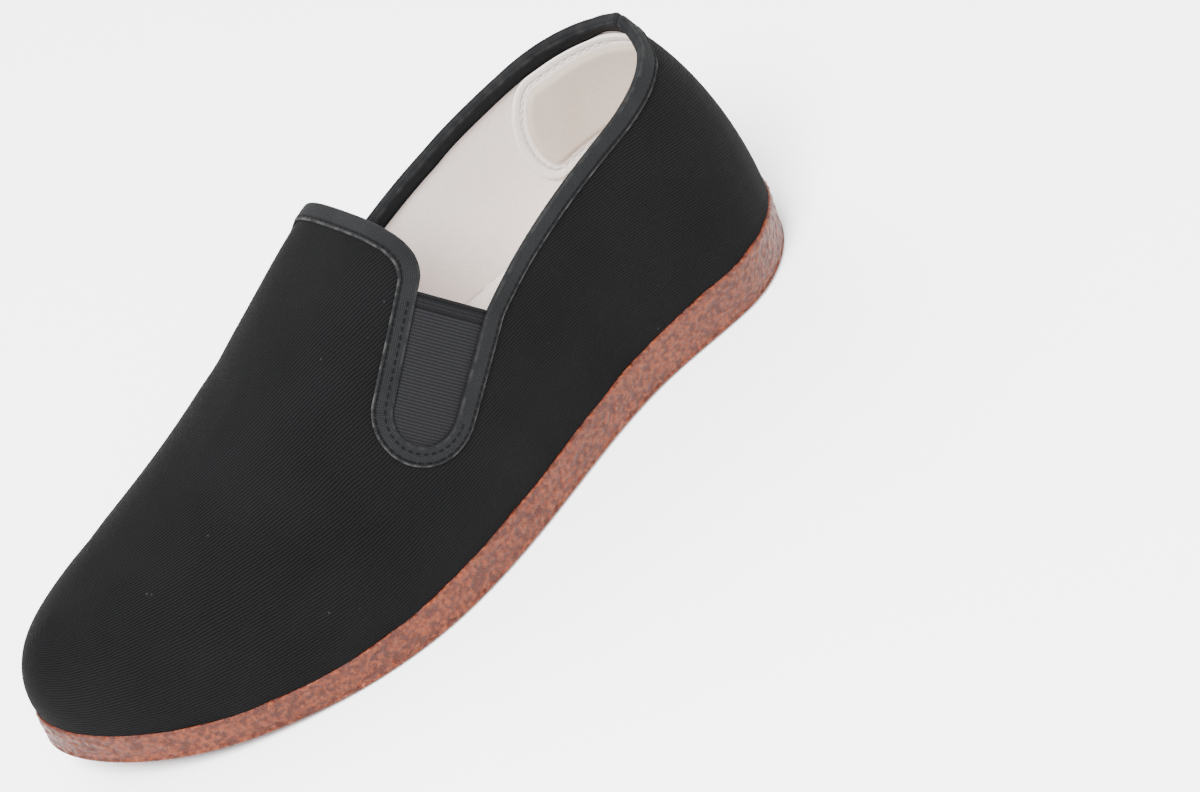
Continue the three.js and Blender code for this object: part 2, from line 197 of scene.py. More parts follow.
@dataclass
class Last:
    """The shoe's own surface, from the driving sizes of the part.

    A place on it is a pair (theta, psi). theta runs from 0 at the heel to 1 at the toe and crowds
    stations towards both ends. psi is the angle round the girth: 0 at the crown, a quarter turn at
    the feather line, positive on the outer side.
    """

    sole_length: float = 276.0
    ball_width: float = 102.0
    heel_thickness: float = 18.0
    toe_spring: float = 13.0
    spring_start: float = 0.7
    heel_round: float = 0.13
    toe_round: float = 0.41
    heel_round_power: float = 2.2
    toe_round_power: float = 1.95
    heel_flare: float = -1.0
    toe_flare: float = 1.2
    ledge: float = 0.7
    instep_height: float = 100.0
    heel_lean: float = 51.0
    heel_lean_power: float = 1.1
    toe_roll: float = 27.0
    toe_roll_power: float = 0.9
    ridge_round: float = 0.2
    wall: float = 1.5
    girth: float = 55.0
    wave_start: float = 1.15
    wave_height: float = 0.16

    def __post_init__(self) -> None:
        """Fits the columns of the section table and finds the origin under the sole's middle."""
        names = ("half_width", "centre", "ridge", "thickness", "crown", "taper")
        self.columns = {name: Column(SECTIONS, name) for name in names}
        along = self.along_of(np.linspace(0, 1, 2001))
        rims = [self.sole_edge(along, side, 0.0, 0.0) for side in (1, -1)]
        rims.append(self.sole_edge(np.array([0.0]), 1, self.heel_flare, 0.0))
        points = np.concatenate(rims)
        middle = (points.min(0) + points.max(0)) / 2
        self.to_origin = np.array([-middle[0], -middle[1], 0.0])

    @staticmethod
    def along_of(theta: Array) -> Array:
        """Share of the sole's length at theta."""
        return 0.5 - 0.5 * np.cos(np.pi * np.asarray(theta, float))

    @staticmethod
    def theta_of(along: float) -> float:
        """Theta at a share of the sole's length."""
        return math.acos(1 - 2 * along) / math.pi

    def end_round(self, along: Array) -> Array:
        """How much of its width the outline has near the ends.

        Args:
            along: Shares of the sole's length.

        Returns:
            One share for each, 1 between the rounded ends.
        """
        from_heel = np.maximum(0, 1 - along / self.heel_round)
        from_toe = np.maximum(0, (along - 1 + self.toe_round) / self.toe_round)
        heel = np.maximum(0, 1 - from_heel**self.heel_round_power) ** (1 / self.heel_round_power)
        toe = np.maximum(0, 1 - from_toe**self.toe_round_power) ** (1 / self.toe_round_power)
        return heel * toe

    def sole_floor(self, along: Array) -> Array:
        """Height of the sole's underside, which rises at the toe."""
        lift = np.maximum(0, (along - self.spring_start) / (1 - self.spring_start))
        return self.toe_spring * lift**2

    def sole_top(self, along: Array) -> Array:
        """Height of the sole's top edge."""
        return self.sole_floor(along) + self.heel_thickness * self.columns["thickness"](along)

    def flare(self, along: Array) -> Array:
        """How far the sole's foot stands out past its top edge."""
        return self.heel_flare + (self.toe_flare - self.heel_flare) * np.minimum(1, along / 0.5)

    def feather_height(self, along: Array) -> Array:
        """Height of the line where the upper meets the sole."""
        return self.sole_top(along) + GAP

    def sole_edge(self, along: Array, side: float, inset: Array, height: Array) -> Array:
        """Points of the sole's outline.

        Args:
            along: Shares of the sole's length.
            side: 1 for the outer edge, -1 for the inner one, or a share between them.
            inset: How far the outline is drawn in.
            height: Height of each point.

        Returns:
            One point for each share.
        """
        full = self.ball_width * self.columns["half_width"](along) - inset
        half = np.maximum(0, full) * self.end_round(along)
        x = (along - 0.5) * (self.sole_length - 2 * inset)
        y = self.ball_width * self.columns["centre"](along) + side * half
        return np.stack(np.broadcast_arrays(x, y, height), -1)

    def skin(self, along: Array, psi: Array, grow: Array) -> Array:
        """Points of the last's skin.

        Args:
            along: Shares of the sole's length.
            psi: Angles round the girth.
            grow: How far the skin is moved outwards.

        Returns:
            One point for each place.
        """
        across = np.sin(psi)
        cos = np.abs(across) ** (1 / self.columns["taper"](along))
        sin = np.sqrt(np.maximum(0, 1 - cos**2))
        inset = self.flare(along) + self.ledge - grow
        soft = np.sqrt((cos**2 + self.ridge_round**2) / (1 + self.ridge_round**2))
        back = self.heel_lean * (1 - cos**self.heel_lean_power) + inset
        front = self.toe_roll * (1 - soft**self.toe_roll_power) + inset
        x = (1 - along) * (back - self.sole_length / 2) + along * (self.sole_length / 2 - front)
        half = (self.ball_width * self.columns["half_width"](along) - inset) * self.end_round(along)
        centre = self.columns["centre"](along) * cos**2 + self.columns["ridge"](along) * sin**2
        foot = self.feather_height(along)
        crown = self.instep_height * self.columns["crown"](along) + grow
        return np.stack([x, self.ball_width * centre + half * across, foot + (crown - foot) * sin], -1)

    def relief(self, along: Array, psi: Array) -> Array:
        """Height of the soft creases and of the faint waves where the cloth meets the sole.

        Args:
            along: Shares of the sole's length.
            psi: Angles round the girth.

        Returns:
            One height for each place.
        """
        place = np.stack([along * self.sole_length, psi * self.girth], -1)
        total = np.zeros(np.broadcast(along, psi).shape)
        for crease in CREASES:
            start, end = (
                np.array([share * self.sole_length, math.radians(angle) * self.girth])
                for share, angle in (crease.start, crease.end)
            )
            run = end - start
            share = np.clip(((place - start) @ run) / (run @ run), 0, 1)
            away = np.linalg.norm(place - start - share[..., None] * run, axis=-1)
            total += crease.rise * np.exp(-((away / crease.width) ** 2))
        near_sole = np.clip((np.abs(psi) - self.wave_start) / (QUARTER - self.wave_start), 0, 1) ** 2
        wave = np.sin(along * 61) + 0.6 * np.sin(along * 97 + 1.3) + 0.4 * np.sin(along * 173 + psi)
        return total + self.wave_height * near_sole * wave

    def point(self, theta: Array, psi: Array, grow: Array = 0.0) -> Array:
        """Points of the dressed surface, with its relief."""
        along = self.along_of(theta)
        return self.skin(along, psi, grow + self.relief(along, psi))

    def psi_at_climb(self, along: float, climb: float) -> float:
        """Angle round the girth at a share of the way up the wall."""
        cos = math.cos(climb * QUARTER)
        return math.asin(cos ** float(self.columns["taper"](np.array(along))))

    def psi_at_height(self, along: Array, height: Array, grow: float) -> Array:
        """Angle round the girth at a height over the floor.

        Args:
            along: Shares of the sole's length.
            height: Heights of the wanted places.
            grow: How far the skin is moved outwards.

        Returns:
            One angle for each share.
        """
        foot = self.feather_height(along)
        crown = self.instep_height * self.columns["crown"](along) + grow
        sin = np.clip((height - foot) / (crown - foot), 0, 1)
        cos = np.sqrt(1 - sin**2)
        return np.arcsin(cos ** self.columns["taper"](along))

    def normals(self, theta: Array, psi: Array, grow: Array = 0.0) -> Array:
        """Directions that point out of the surface.

        Args:
            theta: Places along the shoe.
            psi: Angles round the girth.
            grow: How far the skin is moved outwards.

        Returns:
            One direction for each place.
        """
        along = self.point(theta + NUDGE, psi, grow) - self.point(theta - NUDGE, psi, grow)
        around = self.point(theta, psi + NUDGE, grow) - self.point(theta, psi - NUDGE, grow)
        return normalised(np.cross(around, along))


@dataclass
class Opening:
    """The shoe's bound edge: collar, slots and tongue tab, as a distance into the cloth."""

    last: Last
    collar_height: float = 92.0
    peak: float = 2.0
    peak_length: float = 3.0
    tab_position: float = -17.3
    tab_lean: float = math.radians(8)
    tab_skew: float = math.tan(math.radians(9))
    corner_radius: float = 12.0
    corner_rise: float = 0.66
    corner_reach: float = 0.06
    gore_share: float = 0.455
    gore_rise: float = 0.47
    gore_tilt: float = math.radians(37)
    slot_width: float = 21.0
    slot_depth: float = 45.0
    slot_spread: float = 3.0
    mouth_share: float = 0.385
    mouth_rise: float = 0.56
    reach: float = 100.0
    slot_search: float = 0.2
    slot_halvings: int = 30
    edge_halvings: int = 36
    walk_rounds: int = 6

    def __post_init__(self) -> None:
        """Places the slots and the tab's corners."""
        self.collar_column = Column(COLLAR, "height")
        psi = self.last.psi_at_height(np.array(0.0), np.array(self.collar_height), 0.0)
        self.collar_back = float(self.last.skin(np.array(0.0), psi, 0.0)[0])
        self.tab_run = np.array([math.sin(self.tab_lean), math.cos(self.tab_lean)])
        self.straight = (self.slot_depth - self.slot_width) / 2
        self.frames = {side: self.slot_frame(side) for side in (1, -1)}
        self.middle_x = float(self.frames[1][0][0])
        self.mouth_z = float(self.frames[1][0][2] - self.frames[1][1][1][2] * self.slot_depth / 2)
        self.corners = {side: self.corner(side) for side in (1, -1)}

    def collar_at(self, x: Array) -> Array:
        """Height of the collar, with its small point at the heel.

        Args:
            x: Lengthwise places.

        Returns:
            One height for each place.
        """
        along = np.clip(x / self.last.sole_length + 0.5, COLLAR[0].along, COLLAR[-1].along)
        to_peak = np.maximum(0, 1 - np.maximum(0, x - self.collar_back) / self.peak_length)
        return self.collar_height * self.collar_column(along) + self.peak * to_peak

    def on_skin(self, along: float, climb: float, side: int) -> Array:
        """Point of the plain skin at a share of the way up the wall."""
        psi = side * self.last.psi_at_climb(along, climb)
        return self.last.skin(np.array(along), np.array(psi), 0.0)

    def slot_frame(self, side: int) -> tuple[Array, Array]:
        """Frame of a slot.

        Args:
            side: 1 for the outer slot, -1 for the inner one.

        Returns:
            Its origin, and its axes as rows: across it towards the toe, down it, and out of the wall.
        """
        step = 0.01
        origin = self.on_skin(self.gore_share, self.gore_rise, side)
        along = self.on_skin(self.gore_share + step, self.gore_rise, side) - origin
        up = self.on_skin(self.gore_share, self.gore_rise + step, side) - origin
        out = normalised(np.cross(up, along) * side)
        level = normalised(np.array([out[1], -out[0], 0.0]) * side)
        down = normalised(np.cross(out, level) * side)
        deep = down * math.sin(self.gore_tilt) + level * math.cos(self.gore_tilt)
        across = level * math.sin(self.gore_tilt) - down * math.cos(self.gore_tilt)
        return origin, np.stack([across, deep, out])

    def to_slot(self, points: Array, side: int) -> Array:
        """Points in the slot's own frame."""
        origin, axes = self.frames[side]
        return (points - origin) @ axes.T

    def slot_front(self, down: Array) -> Array:
        """How far ahead of its middle line the slot's front edge lies."""
        spread = self.slot_spread / (self.straight + self.slot_depth / 2)
        return self.slot_width / 2 + spread * (self.straight - down)

    def side_view(self, points: Array) -> Array:
        """Points in the side view, with the tab's skew taken out."""
        return np.stack([points[..., 0] + self.tab_skew * points[..., 1], points[..., 2]], -1)

    def slot_edge(self, side: int, climb: float, inset: float) -> Array:
        """Where the slot's front edge crosses the skin.

        Args:
            side: 1 for the outer slot, -1 for the inner one.
            climb: Share of the way up the wall.
            inset: How far the edge is drawn in.

        Returns:
            The place in the side view.
        """
        low = self.gore_share - self.slot_search
        high = self.gore_share + self.slot_search
        for _ in range(self.slot_halvings):
            middle = (low + high) / 2
            place = self.to_slot(self.on_skin(middle, climb, side), side)
            if place[0] < self.slot_front(place[1]) - inset:
                low = middle
            else:
                high = middle
        return self.side_view(self.on_skin(low, climb, side))

    def corner(self, side: int) -> tuple[Array, float, float, float]:
        """Works out the round at the tab's corner.

        Args:
            side: 1 for the outer corner, -1 for the inner one.

        Returns:
            Its centre, its first angle, how far it turns, and how far the slot's edge moves in the side
            view when it is drawn in by one millimetre.
        """
        above = self.corner_rise + self.corner_reach
        below = self.corner_rise - self.corner_reach
        slot_point = self.slot_edge(side, above, 0.0)
        slot_run = normalised(self.slot_edge(side, below, 0.0) - slot_point)
        moved = self.slot_edge(side, above, 1.0) - slot_point
        shift = abs(float(moved[0] * slot_run[1] - moved[1] * slot_run[0]))
        start = np.array([self.tab_position, self.last.instep_height])
        between = slot_point - start
        cross = float(between[0] * slot_run[1] - between[1] * slot_run[0])
        along = cross / float(self.tab_run[0] * slot_run[1] - self.tab_run[1] * slot_run[0])
        opening = math.acos(float(self.tab_run @ slot_run))
        middle = normalised(self.tab_run + slot_run)
        centre = start + self.tab_run * along + middle * self.corner_radius / math.sin(opening / 2)
        turn = math.pi - opening
        first = math.atan2(-middle[1], -middle[0]) - turn / 2
        return centre, first, turn, shift

    def distance(self, points: Array, side: Array) -> Array:
        """How far points lie from the bound edge, positive in the cloth.

        Args:
            points: Points of the skin.
            side: 1 or -1 for each point.

        Returns:
            One distance for each point.
        """
        x, z = points[..., 0], points[..., 2]
        flat = self.side_view(points)
        line = self.tab_position + self.tab_run[0] * (z - self.last.instep_height) / self.tab_run[1]
        behind_tab = (flat[..., 0] - line) * self.tab_run[1]
        behind = np.where(z > self.mouth_z, behind_tab, flat[..., 0] - self.middle_x)
        total = np.maximum(self.collar_at(x) - z, behind)
        for one in (1, -1):
            place = self.to_slot(points, one)
            across, down, out = np.moveaxis(place, -1, 0)
            straight = np.maximum(across - self.slot_front(down), -self.slot_width / 2 - across)
            foot = np.hypot(across, down - self.straight) - self.slot_width / 2
            slot = np.where(down < self.straight, straight, foot)
            near = (np.abs(out) < self.slot_depth / 2) & (down > -self.slot_depth)
            total = np.where(near & (side == one), np.minimum(total, slot), total)
            centre, first, turn, shift = self.corners[one]
            away = flat - centre
            radius = np.hypot(away[..., 0], away[..., 1])
            share = ((np.arctan2(away[..., 1], away[..., 0]) - first) % (2 * math.pi)) / turn
            round_off = (self.corner_radius - radius) / (1 + (shift - 1) * np.clip(share, 0, 1))
            inside = (share <= 1) & (radius < 2 * self.corner_radius) & (side == one)
            total = np.where(inside, np.minimum(total, round_off), total)
        return total

    def into_cloth(self, theta: Array, psi: Array) -> Array:
        """Distance of places on the last from the bound edge."""
        points = self.last.skin(self.last.along_of(theta), psi, 0.0)
        return self.distance(points, np.where(psi < 0, -1, 1))

    def bisect(self, place: Callable[[Array], tuple[Array, Array]], low: Array, high: Array) -> Array:
        """Finds where a line of places crosses the edge.

        Args:
            place: Gives (theta, psi) at each position on its line.
            low: Positions in the opening.
            high: Positions in the cloth.

        Returns:
            The positions on the edge.
        """
        for _ in range(self.edge_halvings):
            middle = (low + high) / 2
            in_cloth = self.into_cloth(*place(middle)) > 0
            high = np.where(in_cloth, middle, high)
            low = np.where(in_cloth, low, middle)
        return (low + high) / 2

    def trace_side(self, side: int, count: int) -> tuple[Array, Array]:
        """Evenly spaced places on one half of the edge, from the heel to the tab's middle.

        Args:
            side: 1 for the outer half, -1 for the inner one.
            count: Number of places.

        Returns:
            Their theta and psi.
        """
        theta_scale = 433.0
        psi_scale = 50.0
        heel_psi = 0.4
        tab_theta = 0.37
        tab_turn = 0.7
        ray_steps = 400
        fine_count = 3000
        theta_0 = self.last.theta_of(self.mouth_share)
        psi_0 = self.last.psi_at_climb(self.mouth_share, self.mouth_rise)

        def solve(sweep: Array) -> tuple[Array, Array]:
            """Finds places on the edge.

            Args:
                sweep: Runs from 0 at the heel by 1 and 2 in the slot to 3 on the tab.

            Returns:
                Their theta and psi.
            """
            back = np.clip(sweep, 0, 1)
            turn = np.clip(sweep - 1, 0, 1)
            front = np.clip(sweep - 2, 0, 1)
            theta_from = theta_0 * back + (tab_theta - theta_0) * front
            psi_from = (heel_psi + (psi_0 - heel_psi) * back) * (1 - front)
            angle = QUARTER * (1 - turn) - tab_turn * np.sin(np.pi * front)

            def place(radii: Array) -> tuple[Array, Array]:
                """Goes out along the rays.

                Args:
                    radii: How far to go, in about millimetres.

                Returns:
                    The theta and psi of each place.
                """
                theta = theta_from + radii * np.cos(angle) / theta_scale
                psi = psi_from + radii * np.sin(angle) / psi_scale
                return np.clip(theta, 0, 1), side * np.clip(psi, 0, QUARTER)

            steps = np.linspace(0, self.reach, ray_steps)
            depth = np.stack([self.into_cloth(*place(np.full(len(sweep), r))) for r in steps])
            cross = np.argmax(depth > 0, axis=0)
            return place(self.bisect(place, steps[np.maximum(cross - 1, 0)], steps[cross]))

        fine = np.linspace(0, 3, fine_count)
        points = self.last.point(*solve(fine))
        run = np.concatenate([[0], np.cumsum(np.linalg.norm(np.diff(points, axis=0), axis=1))])
        return solve(np.interp(np.linspace(0, run[-1], count), run, fine))

    def trace(self, count: int) -> tuple[Array, Array]:
        """The whole edge, from the heel by the outer side to the tab and back by the inner side.

        Args:
            count: Number of places on each half.

        Returns:
            Their theta and psi.
        """
        outer = self.trace_side(1, count)
        inner = self.trace_side(-1, count)
        theta = np.concatenate([outer[0], inner[0][::-1][1:]])
        psi = np.concatenate([outer[1], inner[1][::-1][1:]])
        return theta, psi

    def walk(self, theta: Array, psi: Array, level: float) -> tuple[Array, Array]:
        """Moves places across the surface until they lie at a given distance from the edge.

        Args:
            theta: Places along the edge.
            psi: The same places round the girth.
            level: Wanted distance, positive in the cloth.

        Returns:
            The moved theta and psi.
        """
        least = 1e-6
        least_slope = 0.3
        stride = 2
        start = (theta, psi)
        for _ in range(self.walk_rounds):
            short = level - self.into_cloth(theta, psi)
            by_theta, by_psi = slopes(self.last.point, theta, psi)
            g_theta, g_psi = slopes(self.into_cloth, theta, psi)
            a = (by_theta**2).sum(-1) + least
            b = (by_theta * by_psi).sum(-1)
            c = (by_psi**2).sum(-1) + least
            det = np.maximum(a * c - b * b, least * a * c)
            d_theta = (c * g_theta - b * g_psi) / det
            d_psi = (a * g_psi - b * g_theta) / det
            steep = np.maximum(g_theta * d_theta + g_psi * d_psi, least_slope)
            theta = np.clip(theta + np.clip(short, -stride, stride) * d_theta / steep, 0, 1)
            psi = psi + np.clip(short, -stride, stride) * d_psi / steep
        return self.settle(start[0], theta), self.settle(start[1], psi)

    def settle(self, start: Array, moved: Array) -> Array:
        """Evens out how far neighbours have moved, so that the tape has no steps.

        Args:
            start: Values before the move.
            moved: Values after it.

        Returns:
            The evened values.
        """
        spread = 5
        move = np.pad(moved - start, spread, mode="edge")
        weights = np.hanning(2 * spread + 3)[1:-1]
        return start + np.convolve(move, weights / weights.sum(), mode="valid")


def sample(values: Array, run: Array, at: Array) -> Array:
    """Vectors at given lengths along a line."""
    return np.stack([np.interp(at, run, values[:, n]) for n in range(3)], -1)


def circle(count: int) -> Array:
    """Angles that share out a whole turn."""
    return np.linspace(0, 2 * np.pi, count, endpoint=False)


class Surface:
    """Gathers grid points and faces in millimetres and turns them into one welded mesh."""

    thread_corners: int = 6

    def __init__(self, last: Last) -> None:
        """Starts empty.

        Args:
            last: Gives the shift to the part's origin.
        """
        self.last = last
        self.points: list[Array] = []
        self.uvs: list[Array] = []
        self.faces: list[Array] = []
        self.slots: list[int] = []
        self.count = 0

    def add_points(self, points: Array, uv: Array) -> Array:
        """Adds points.

        Args:
            points: Grid of points.
            uv: Their texture places, or one for all.

        Returns:
            Their indices in the same grid.
        """
        shape = points.shape[:-1]
        self.points.append(points.reshape(-1, 3))
        self.uvs.append(np.broadcast_to(uv, shape + (2,)).reshape(-1, 2))
        index = self.count + np.arange(int(np.prod(shape))).reshape(shape)
        self.count += index.size
        return index

    def add_faces(self, faces: Array, slot: int = 0) -> None:
        """Adds faces.

        Args:
            faces: Point indices, one row for each face.
            slot: Material slot of all of them.
        """
        if len(faces):
            self.faces.append(np.asarray(faces))
            self.slots.append(slot)

    @staticmethod
    def quads(index: Array) -> Array:
        """Corner indices of the quads of a grid."""
        return np.stack([index[:-1, :-1], index[1:, :-1], index[1:, 1:], index[:-1, 1:]], -1)

    def add_grid(self, index: Array, close: bool = False, slot: int = 0) -> None:
        """Adds the quads of a grid of indices.

        Args:
            index: Grid of point indices.
            close: Joins the last column to the first.
            slot: Material slot.
        """
        if close:
            index = np.concatenate([index, index[:, :1]], axis=1)
        self.add_faces(self.quads(index).reshape(-1, 4), slot)

    def to_object(
        self, name: str, materials: Sequence[bpy.types.Material], sharp: float = 40.0
    ) -> bpy.types.Object:
        """Welds the points, turns the faces outwards and makes the object.

        Args:
            name: Name of the piece.
            materials: One material for each slot.
            sharp: Edges that turn by more than this many degrees stay sharp.

        Returns:
            The new object.
        """
        points = np.concatenate(self.points) + self.last.to_origin
        uvs = np.concatenate(self.uvs)
        keys = np.round(points / WELD).astype(np.int64)
        _, first, weld = np.unique(keys, axis=0, return_index=True, return_inverse=True)
        weld = weld.reshape(-1)
        corners: list[Array] = []
        sizes: list[int] = []
        kinds: list[int] = []
        for faces, slot in zip(self.faces, self.slots):
            for face in faces:
                kept = [int(i) for n, i in enumerate(face) if weld[i] != weld[face[n - 1]]]
                if len(kept) < 3 or len({int(weld[i]) for i in kept}) < len(kept):
                    continue
                corners.append(np.array(kept))
                sizes.append(len(kept))
                kinds.append(slot)
        owners = np.concatenate(corners)
        used, loops = np.unique(weld[owners], return_inverse=True)
        loops = loops.reshape(-1)
        fixed = points[first][used]
        starts = np.concatenate([[0], np.cumsum(sizes)[:-1]])
        a, b, c = (fixed[loops[starts + n]] for n in range(3))
        quads = np.array(sizes) == 4
        # The sign of the volume tells whether the faces look outwards.
        volume = (a * np.cross(b, c)).sum()
        d = fixed[loops[starts[quads] + 3]]
        volume += (a[quads] * np.cross(c[quads], d)).sum()
        mesh = bpy.data.meshes.new(name)
        rings = np.split(loops, starts[1:])
        mesh.from_pydata((fixed * MM).tolist(), [], [ring.tolist() for ring in rings])
        layer = mesh.uv_layers.new(name="UVMap")
        layer.data.foreach_set("uv", uvs[owners].astype(np.float32).ravel())
        for material in materials:
            mesh.materials.append(material)
        mesh.polygons.foreach_set("material_index", np.array(kinds, np.int32))
        mesh.polygons.foreach_set("use_smooth", np.ones(len(kinds), bool))
        if volume < 0:
            mesh.flip_normals()
        mesh.set_sharp_from_angle(angle=math.radians(sharp))
        mesh.update()
        piece = bpy.data.objects.new(name, mesh)
        bpy.context.scene.collection.objects.link(piece)
        return piece

    def add_shell(self, front: Array, back: Array, uv: Array, keep: Array | None = None) -> None:
        """Adds a closed sheet: two grids that face away from each other, walled along their rims.

        Args:
            front: Grid of points.
            back: Grid of the same shape behind it.
            uv: Grid of texture places.
            keep: Which quads are wanted, all of them if left out.
        """
        index = self.add_points(front, uv)
        behind = self.add_points(back, uv)
        shift = int(behind.flat[0] - index.flat[0])
        quads = self.quads(index)
        kept = quads[keep] if keep is not None else quads.reshape(-1, 4)
        self.add_faces(kept)
        self.add_faces(kept[:, ::-1] + shift)
        keys = np.round(front.reshape(-1, 3) / WELD).astype(np.int64)
        _, weld = np.unique(keys, axis=0, return_inverse=True)
        weld = weld.reshape(-1)
        edges = np.concatenate([kept[:, [n, (n + 1) % 4]] for n in range(4)])
        a, b = (weld[edges[:, n] - index.flat[0]] for n in (0, 1))
        alone = (a != b) & ~np.isin(a * len(weld) + b, b * len(weld) + a)
        rim = edges[alone]
        self.add_faces(np.stack([rim[:, 1], rim[:, 0], rim[:, 0] + shift, rim[:, 1] + shift], -1))

    def add_stitches(self, path: Array, out: Array, pitch: float, length: float, radius: float) -> None:
        """Adds a row of stitches as closed capsules.

        Args:
            path: Points along the row.
            out: Directions out of the cloth at those points.
            pitch: Distance from stitch to stitch.
            length: Length of one stitch.
            radius: Half the thread's thickness.
        """
        run = np.concatenate([[0], np.cumsum(np.linalg.norm(np.diff(path, axis=0), axis=1))])
        at = np.arange(pitch / 2, run[-1] - pitch / 4, pitch)
        if not len(at):
            return
        centre = sample(path, run, at)
        along = normalised(sample(path, run, at + length / 2) - sample(path, run, at - length / 2))
        up = normalised(sample(out, run, at))
        side = normalised(np.cross(up, along))
        turn = circle(self.thread_corners)
        spokes = side[:, None] * np.cos(turn)[None, :, None] + up[:, None] * np.sin(turn)[None, :, None]
        reach = np.array([-1, -0.86, -0.4, 0.4, 0.86, 1]) * length / 2
        thick = np.array([0, 0.62, 1, 1, 0.62, 0]) * radius
        sag = np.array([-0.5, -0.3, 0, 0, -0.3, -0.5]) * radius
        spine = centre[:, None] + along[:, None] * reach[None, :, None]
        spine = spine + up[:, None] * sag[None, :, None]
        points = spine[:, :, None] + spokes[:, None] * thick[None, :, None, None]
        for grid in self.add_points(points, np.zeros(2)):
            self.add_grid(grid, close=True)

    def add_band(self, path: Array, out: Array, section: Sequence[tuple[float, float]]) -> None:
        """Adds a closed bead along a closed plan path.

        Args:
            path: Points of the path.
            out: Level directions across the path.
            section: Places across the path and up, as a closed outline.
        """
        across = np.array([s[0] for s in section])
        up = np.array([s[1] for s in section])
        points = path[:, None] + out[:, None] * across[None, :, None]
        points[..., 2] += up
        index = self.add_points(points, np.zeros(2))
        self.add_grid(np.concatenate([index, index[:1]]), close=True)


def shade(red: int, green: int, blue: int) -> Colour:
    """Linear colour of a screen colour.

    Args:
        red: Red part, from 0 to 255.
        green: Green part.
        blue: Blue part.

    Returns:
        The linear colour, opaque.
    """
    parts = [part / 255 for part in (red, green, blue)]
    linear = [part / 12.92 if part <= 0.04045 else ((part + 0.055) / 1.055) ** 2.4 for part in parts]
    return (linear[0], linear[1], linear[2], 1.0)


def dimmed(colour: Colour, share: float) -> Colour:
    """Darker version of an opaque colour."""
    return tuple(part * share for part in colour[:3]) + (1.0,)


@dataclass(frozen=True)
class Signal:
    """A shader socket that sums and products can be written with."""

    graph: "Graph"
    socket: Any

    def __add__(self, other: Number) -> "Signal":
        """Sum."""
        return self.graph.math("ADD", self, other)

    def __radd__(self, other: Number) -> "Signal":
        """Sum with the signal on the right."""
        return self.graph.math("ADD", other, self)

    def __sub__(self, other: Number) -> "Signal":
        """Difference."""
        return self.graph.math("SUBTRACT", self, other)

    def __rsub__(self, other: Number) -> "Signal":
        """Difference with the signal on the right."""
        return self.graph.math("SUBTRACT", other, self)

    def __mul__(self, other: Number) -> "Signal":
        """Product."""
        return self.graph.math("MULTIPLY", self, other)

    def __rmul__(self, other: Number) -> "Signal":
        """Product with the signal on the right."""
        return self.graph.math("MULTIPLY", other, self)

    def __truediv__(self, other: Number) -> "Signal":
        """Quotient."""
        return self.graph.math("DIVIDE", self, other)


